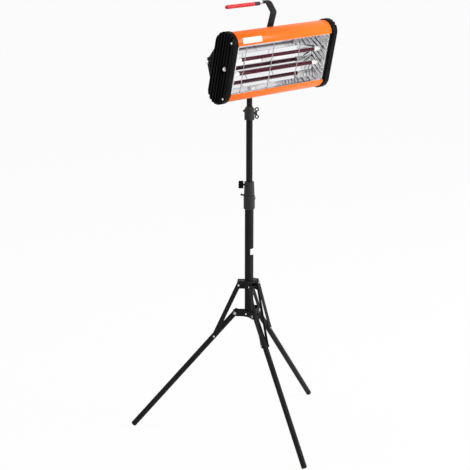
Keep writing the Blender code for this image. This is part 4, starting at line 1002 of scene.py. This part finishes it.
handle = {
    "side": 0.0048, "back": 0.0003, "height": 0.1798, "rod": 0.003, "rodStart": -0.0145, "socket": 0.090,
    "rodSoft": 0.0006, "collarStart": 0.0338, "collarLength": 0.0242, "collar": 0.00625, "collarSoft": 0.0014,
    "grip": 0.0066, "gripLength": 0.131, "gripSoft": 0.0012,
}


def makeHandle():
    s = handle
    bore = s["rod"] + gap
    place = tiltPlace @ shift(-s["side"], s["back"], s["height"]) @ turned(-quarter, "Y")
    collarEnd = s["collarStart"] + s["collarLength"]
    gripStart = collarEnd + gap
    socketEnd = gripStart + s["socket"]
    rod = lathe("handleRod", softCorners(corners(0, s["rod"], s["rodStart"], socketEnd), s["rodSoft"], 3), 32)
    settle(rod, "head", "chrome", place, "handle_rod")
    ring = softCorners(corners(bore, s["collar"], s["collarStart"], collarEnd), s["collarSoft"], 4, True)
    settle(lathe("handleCollar", ring, 40, True), "head", "black_plastic", place, "handle_collar")
    dome = gripStart + s["gripLength"] - s["grip"]
    profile = [(0, socketEnd + gap), (bore, socketEnd + gap), (bore, gripStart)]
    profile += softCorners([(bore, gripStart), (s["grip"], gripStart), (s["grip"], dome)], s["gripSoft"], 4)[1:-1]
    profile += arc((0, dome), s["grip"], 0, quarter, 12)
    settle(lathe("handleGrip", profile, 48), "head", "red_grip", place, "handle_grip")


makeHandle()
print("handle made")


# Hubs of the tripod

hubs = {
    "lower": {
        "pivotRadius": 0.0482, "pivotHeight": 0.4275, "below": 0.010, "above": 0.010,
        "spread": 0.0098, "reach": 0.0095, "corner": 0.009025,
    },
    "upper": {
        "pivotRadius": 0.03485, "pivotHeight": 0.5307, "below": 0.0127, "above": 0.0145,
        "spread": 0.012, "reach": 0.0075, "corner": 0.004,
    },
    "bore": 0.0153, "sleeve": 0.0178, "rim": 0.0004, "sheet": 0.0023, "bend": 0.004, "over": 0.01, "edge": 0.0004,
    "webShare": 0.35, "webRivetShare": 0.85, "roofBore": 0.0163, "roofDown": 0.0001, "rivetFoot": -0.0004,
    "rivet": 0.0032, "rivetHeight": 0.0014, "strutOnLeg": 0.1118, "strutRivet": 0.0186, "legRivet": 0.0141,
}


def atSide(azimuth, radius, side):
    x, y = plan(azimuth, radius)
    return (x - side * math.sin(azimuth), y + side * math.cos(azimuth))


def makeHub(name, body, roof):
    h = hubs
    size = hubs[name]
    low = size["pivotHeight"] - size["below"]
    high = size["pivotHeight"] + size["above"]
    ring = softCorners(corners(h["bore"], h["sleeve"], low, high), h["rim"], 2, True)
    hub = lathe(name + "Hub", ring, 64, True)
    side = size["spread"] + h["sheet"] / 2
    web = h["sleeve"] + h["sheet"] * h["webShare"]
    root = (web - side * math.sin(math.pi / 3)) / math.cos(math.pi / 3)
    end = size["pivotRadius"] + size["reach"]
    azimuths = sorted(places["legAzimuths"].values())
    outline = []
    for i, here in enumerate(azimuths):
        after = azimuths[(i + 1) % 3]
        bends = [atSide(here, root, side), atSide(after, root, -side)]
        path = [atSide(here, end + h["over"], side), *bends, atSide(after, end + h["over"], -side)]
        sheet = openSheet("hubSheet", softCorners(path, h["bend"], 4), high - low, h["sheet"])
        moved(sheet, shift(0, 0, (low + high) / 2))
        envelope = lathe("hubEnvelope", softCorners(corners(0, end, low, high), size["corner"], 6), 96)
        joinShapes(sheet, envelope, "INTERSECT")
        joinShapes(hub, sheet, "UNION")
        outline += [atSide(here, size["pivotRadius"], -side), atSide(here, size["pivotRadius"], side), *bends]
    if roof:
        plate = prism("hubRoof", outline, high - h["sheet"], high - h["roofDown"])
        joinShapes(plate, lathe("roofBore", corners(0, h["roofBore"], low, high + h["over"]), 64))
        joinShapes(hub, plate, "UNION")
    bevel(hub, h["edge"], 50)
    settle(hub, body, "black_enamel", None, name + "_hub")


def makeRivets():
    # domed heads on the pins of the hubs and of the legs
    h = hubs
    profile = [(0, h["rivetFoot"]), (h["rivet"], h["rivetFoot"])] + arc((0, 0), h["rivet"], 0, quarter, 8)
    head = lathe("rivetHead", profile, 28)
    moved(head, Matrix.Diagonal((1, 1, h["rivetHeight"] / h["rivet"], 1)))

    def heads(name, body, spots):
        shape = bmesh.new()
        for place in spots:
            copy = head.data.copy()
            copy.transform(place)
            shape.from_mesh(copy)
            bpy.data.meshes.remove(copy)
        settle(objectFrom(shape, name), body, "zinc_steel", None, material="chrome")

    upper = hubs["upper"]
    web = h["sleeve"] + h["sheet"] * h["webRivetShare"]
    webs = []
    for name, azimuth in places["legAzimuths"].items():
        pin = standing(azimuth, upper["pivotRadius"], upper["pivotHeight"])
        joint = legPlace(azimuth) @ shift(h["strutOnLeg"], 0, 0)
        strut = []
        for side in (-1, 1):
            turn = turned(-side * quarter, "X")
            strut.append(pin @ shift(0, side * h["strutRivet"], 0) @ turn)
            strut.append(joint @ shift(0, side * h["legRivet"], 0) @ turn)
        heads(name + "StrutRivets", "strut_" + name, strut)
        webs.append(standing(azimuth + math.pi / 3, web, hubs["lower"]["pivotHeight"]) @ lengthwise)
    heads("webRivets", "stand", webs)
    bpy.data.objects.remove(head)


makeHub("lower", "stand", False)
makeHub("upper", "fold_hub", True)
makeRivets()
print("hubs made")


# Bent strip of the handle, and the small pins of the clamp and the collar

strip = {
    "width": 0.029, "sheet": 0.003, "back": 0.0312, "foot": 0.045, "leaves": 0.097, "elbow": (-0.0370, 0.1595),
    "end": (-0.0072, 0.1846), "ledge": 0.015, "bend": 0.006, "edge": 0.0006,
}
pins = {
    "pin": 0.0030, "pinStart": 0.0115, "pinTip": 0.0035, "tipLength": 0.005, "tipSlope": 0.001,
    "pinReach": 0.0305,
    "pinHeight": 0.8412, "pinRise": math.radians(14), "pinSoft": 0.0008,
    "rivet": 0.0040, "rivetStart": 0.0125, "rivetReach": 0.0215, "rivetSoft": 0.0014,
}


def makeStrip():
    s = strip
    path = [
        (-s["back"], s["foot"]), (-s["back"], s["leaves"]), s["elbow"], s["end"],
        (s["end"][0] + s["ledge"], s["end"][1]),
    ]
    sheet = openSheet("handleStrip", softCorners(path, s["bend"], 5), s["width"], s["sheet"])
    bevel(sheet, s["edge"], 50)
    place = tiltPlace @ shift(-handle["side"], 0, 0) @ sideways
    settle(sheet, "head", "black_enamel", place, "handle_strip")


def middleOf(node):
    points = frame["nodes"][node].data.vertices
    middle = sum((v.co for v in points), Vector()) / len(points)
    return math.atan2(middle.y, middle.x), middle.z


def makePins():
    s = pins
    reach = s["pinReach"]
    profile = [(0, s["pinStart"]), (s["pin"], s["pinStart"]), (s["pin"], reach - s["tipLength"] - s["tipSlope"])]
    profile += [(s["pinTip"], reach - s["tipLength"]), (s["pinTip"], reach), (0, reach)]
    pin = lathe("couplerPin", softCorners(profile, s["pinSoft"], 4), 28)
    place = standing(middleOf("coupler_pin")[0], 0, s["pinHeight"]) @ turned(quarter - s["pinRise"], "Y")
    settle(pin, "stand", "zinc_steel", place, "coupler_pin", material="dark_steel")

    profile = softCorners(corners(0, s["rivet"], s["rivetStart"], s["rivetReach"]), s["rivetSoft"], 5)
    rivet = lathe("collarRivet", profile, 32)
    azimuth, height = middleOf("collar_rivet")
    place = standing(azimuth, 0, height) @ lengthwise
    settle(rivet, "middle_mast", "zinc_steel", place, "collar_rivet", material="dark_steel")


makeStrip()
makePins()
print("strip and pins made")


# Other pieces: the CAD solid's own form with merged faces and softened edges, each row (edge width, nodes)

softened = (
    (0.0006, "yoke", "pivot_plate_left", "pivot_plate_right"),
    (0.0004, "strut_pair_front", "strut_pair_right", "strut_pair_left", "coupler_screw"),
    (0.0003, "leg_rivet_front", "leg_rivet_right", "leg_rivet_left"),
    (0.0005, "cable_gland"), (0.0002, "terminal_block"), (0.0003, "middle_tube_bush"),
)


def refineNodes():
    record = frame["record"]
    bodyOf = {node: body for body, members in record["behaviour"]["bodies"].items() for node in members}
    slotOf = {part["node"]: part["material_slot"] for part in record["subparts"]}
    for edge, *nodes in softened:
        for node in nodes:
            shape = bmesh.new()
            shape.from_mesh(frame["nodes"][node].data)
            bmesh.ops.remove_doubles(shape, verts=shape.verts, dist=merge * 10)
            flat = math.radians(1)
            bmesh.ops.dissolve_limit(shape, angle_limit=flat, verts=shape.verts, edges=shape.edges)
            first, *rest = node.split("_")
            piece = objectFrom(shape, first + "".join(word.capitalize() for word in rest) + "Piece", False)
            bevel(piece, edge, 40)
            settle(piece, bodyOf[node], slotOf[node], None, node)


refineNodes()
print("other pieces refined")


# Floor, light and camera

view = {
    "camera": (-3.7826, -3.6147, 2.0803), "forward": (0.6930, 0.6746, -0.2541), "lens": 121.14,
    "world": 0.28, "floorGlow": 0.95, "floorColour": (0.95, 0.95, 0.95, 1), "floorHalf": 14, "floorSheet": 0.05,
    "floorTop": -0.0002,
}
white = (1, 1, 1, 1)
lights = {
    "keyLight": {"place": (2.4, -4.4, 3.4), "aim": (0, 0, 1.0), "size": (2.2, 2.4), "power": 150, "mirrored": True},
    "edgeLight": {"place": (3.6, -3.0, 1.3), "aim": (0, 0, 0.9), "size": (0.8, 2.4), "power": 160, "mirrored": False},
    "topLight": {"place": (-0.6, 0.4, 4.6), "aim": (0, 0, 1.3), "size": (2.0, 2.0), "power": 60, "mirrored": True},
}


def whiteShare(tree):
    # 1 for the camera, for gloss and through glass, and 0 elsewhere
    rays = addNode(tree, "ShaderNodeLightPath").outputs
    share = mathNode(tree, "MAXIMUM", rays["Is Camera Ray"], rays["Is Glossy Ray"])
    return mathNode(tree, "MAXIMUM", share, rays["Is Transmission Ray"])


def mixShaders(tree, share, first, second, end):
    mix = addNode(tree, "ShaderNodeMixShader")
    for socket, value in zip(mix.inputs, (share, first, second)):
        tree.links.new(value, socket)
    tree.links.new(mix.outputs[0], end.inputs[0])


def makeWorld():
    world = bpy.data.worlds.new("studio")
    world.use_nodes = True
    tree = world.node_tree
    tree.nodes.clear()
    plain, bright = [
        addNode(tree, "ShaderNodeBackground", {"Color": white, "Strength": strength}).outputs[0]
        for strength in (view["world"], 1)
    ]
    mixShaders(tree, whiteShare(tree), plain, bright, addNode(tree, "ShaderNodeOutputWorld"))
    bpy.context.scene.world = world


def makeFloor():
    half = view["floorHalf"]
    floor = cube("floor", (-half, -half, -view["floorSheet"]), (half, half, view["floorTop"]))
    material = bpy.data.materials.new("paleFloor")
    material.use_nodes = True
    tree = material.node_tree
    shader = tree.nodes["Principled BSDF"]
    shader.inputs["Base Color"].default_value = view["floorColour"]
    shader.inputs["Roughness"].default_value = 0.9
    shader.inputs["Specular IOR Level"].default_value = 0
    glow = addNode(tree, "ShaderNodeEmission", {"Color": white, "Strength": 1}).outputs[0]
    share = mathNode(tree, "MULTIPLY", whiteShare(tree), view["floorGlow"])
    mixShaders(tree, share, shader.outputs[0], glow, tree.nodes["Material Output"])
    floor.data.materials.append(material)


def makeLights():
    for name, values in lights.items():
        light = bpy.data.lights.new(name, "AREA")
        light.shape = "RECTANGLE"
        light.size, light.size_y = values["size"]
        light.energy = values["power"]
        holder = linked(name, light)
        holder.visible_glossy = values["mirrored"]
        holder.location = values["place"]
        aim = Vector(values["aim"]) - Vector(values["place"])
        holder.rotation_euler = aim.to_track_quat("-Z", "Y").to_euler()


def makeCamera():
    data = bpy.data.cameras.new("camera")
    data.lens = view["lens"]
    data.sensor_width = 36
    data.clip_end = 60
    camera = linked("camera", data)
    camera.location = view["camera"]
    camera.rotation_euler = Vector(view["forward"]).to_track_quat("-Z", "Y").to_euler()
    bpy.context.scene.camera = camera


makeWorld()
makeFloor()
makeLights()
makeCamera()
bpy.context.scene.view_settings.view_transform = "Standard"
print("stage made")
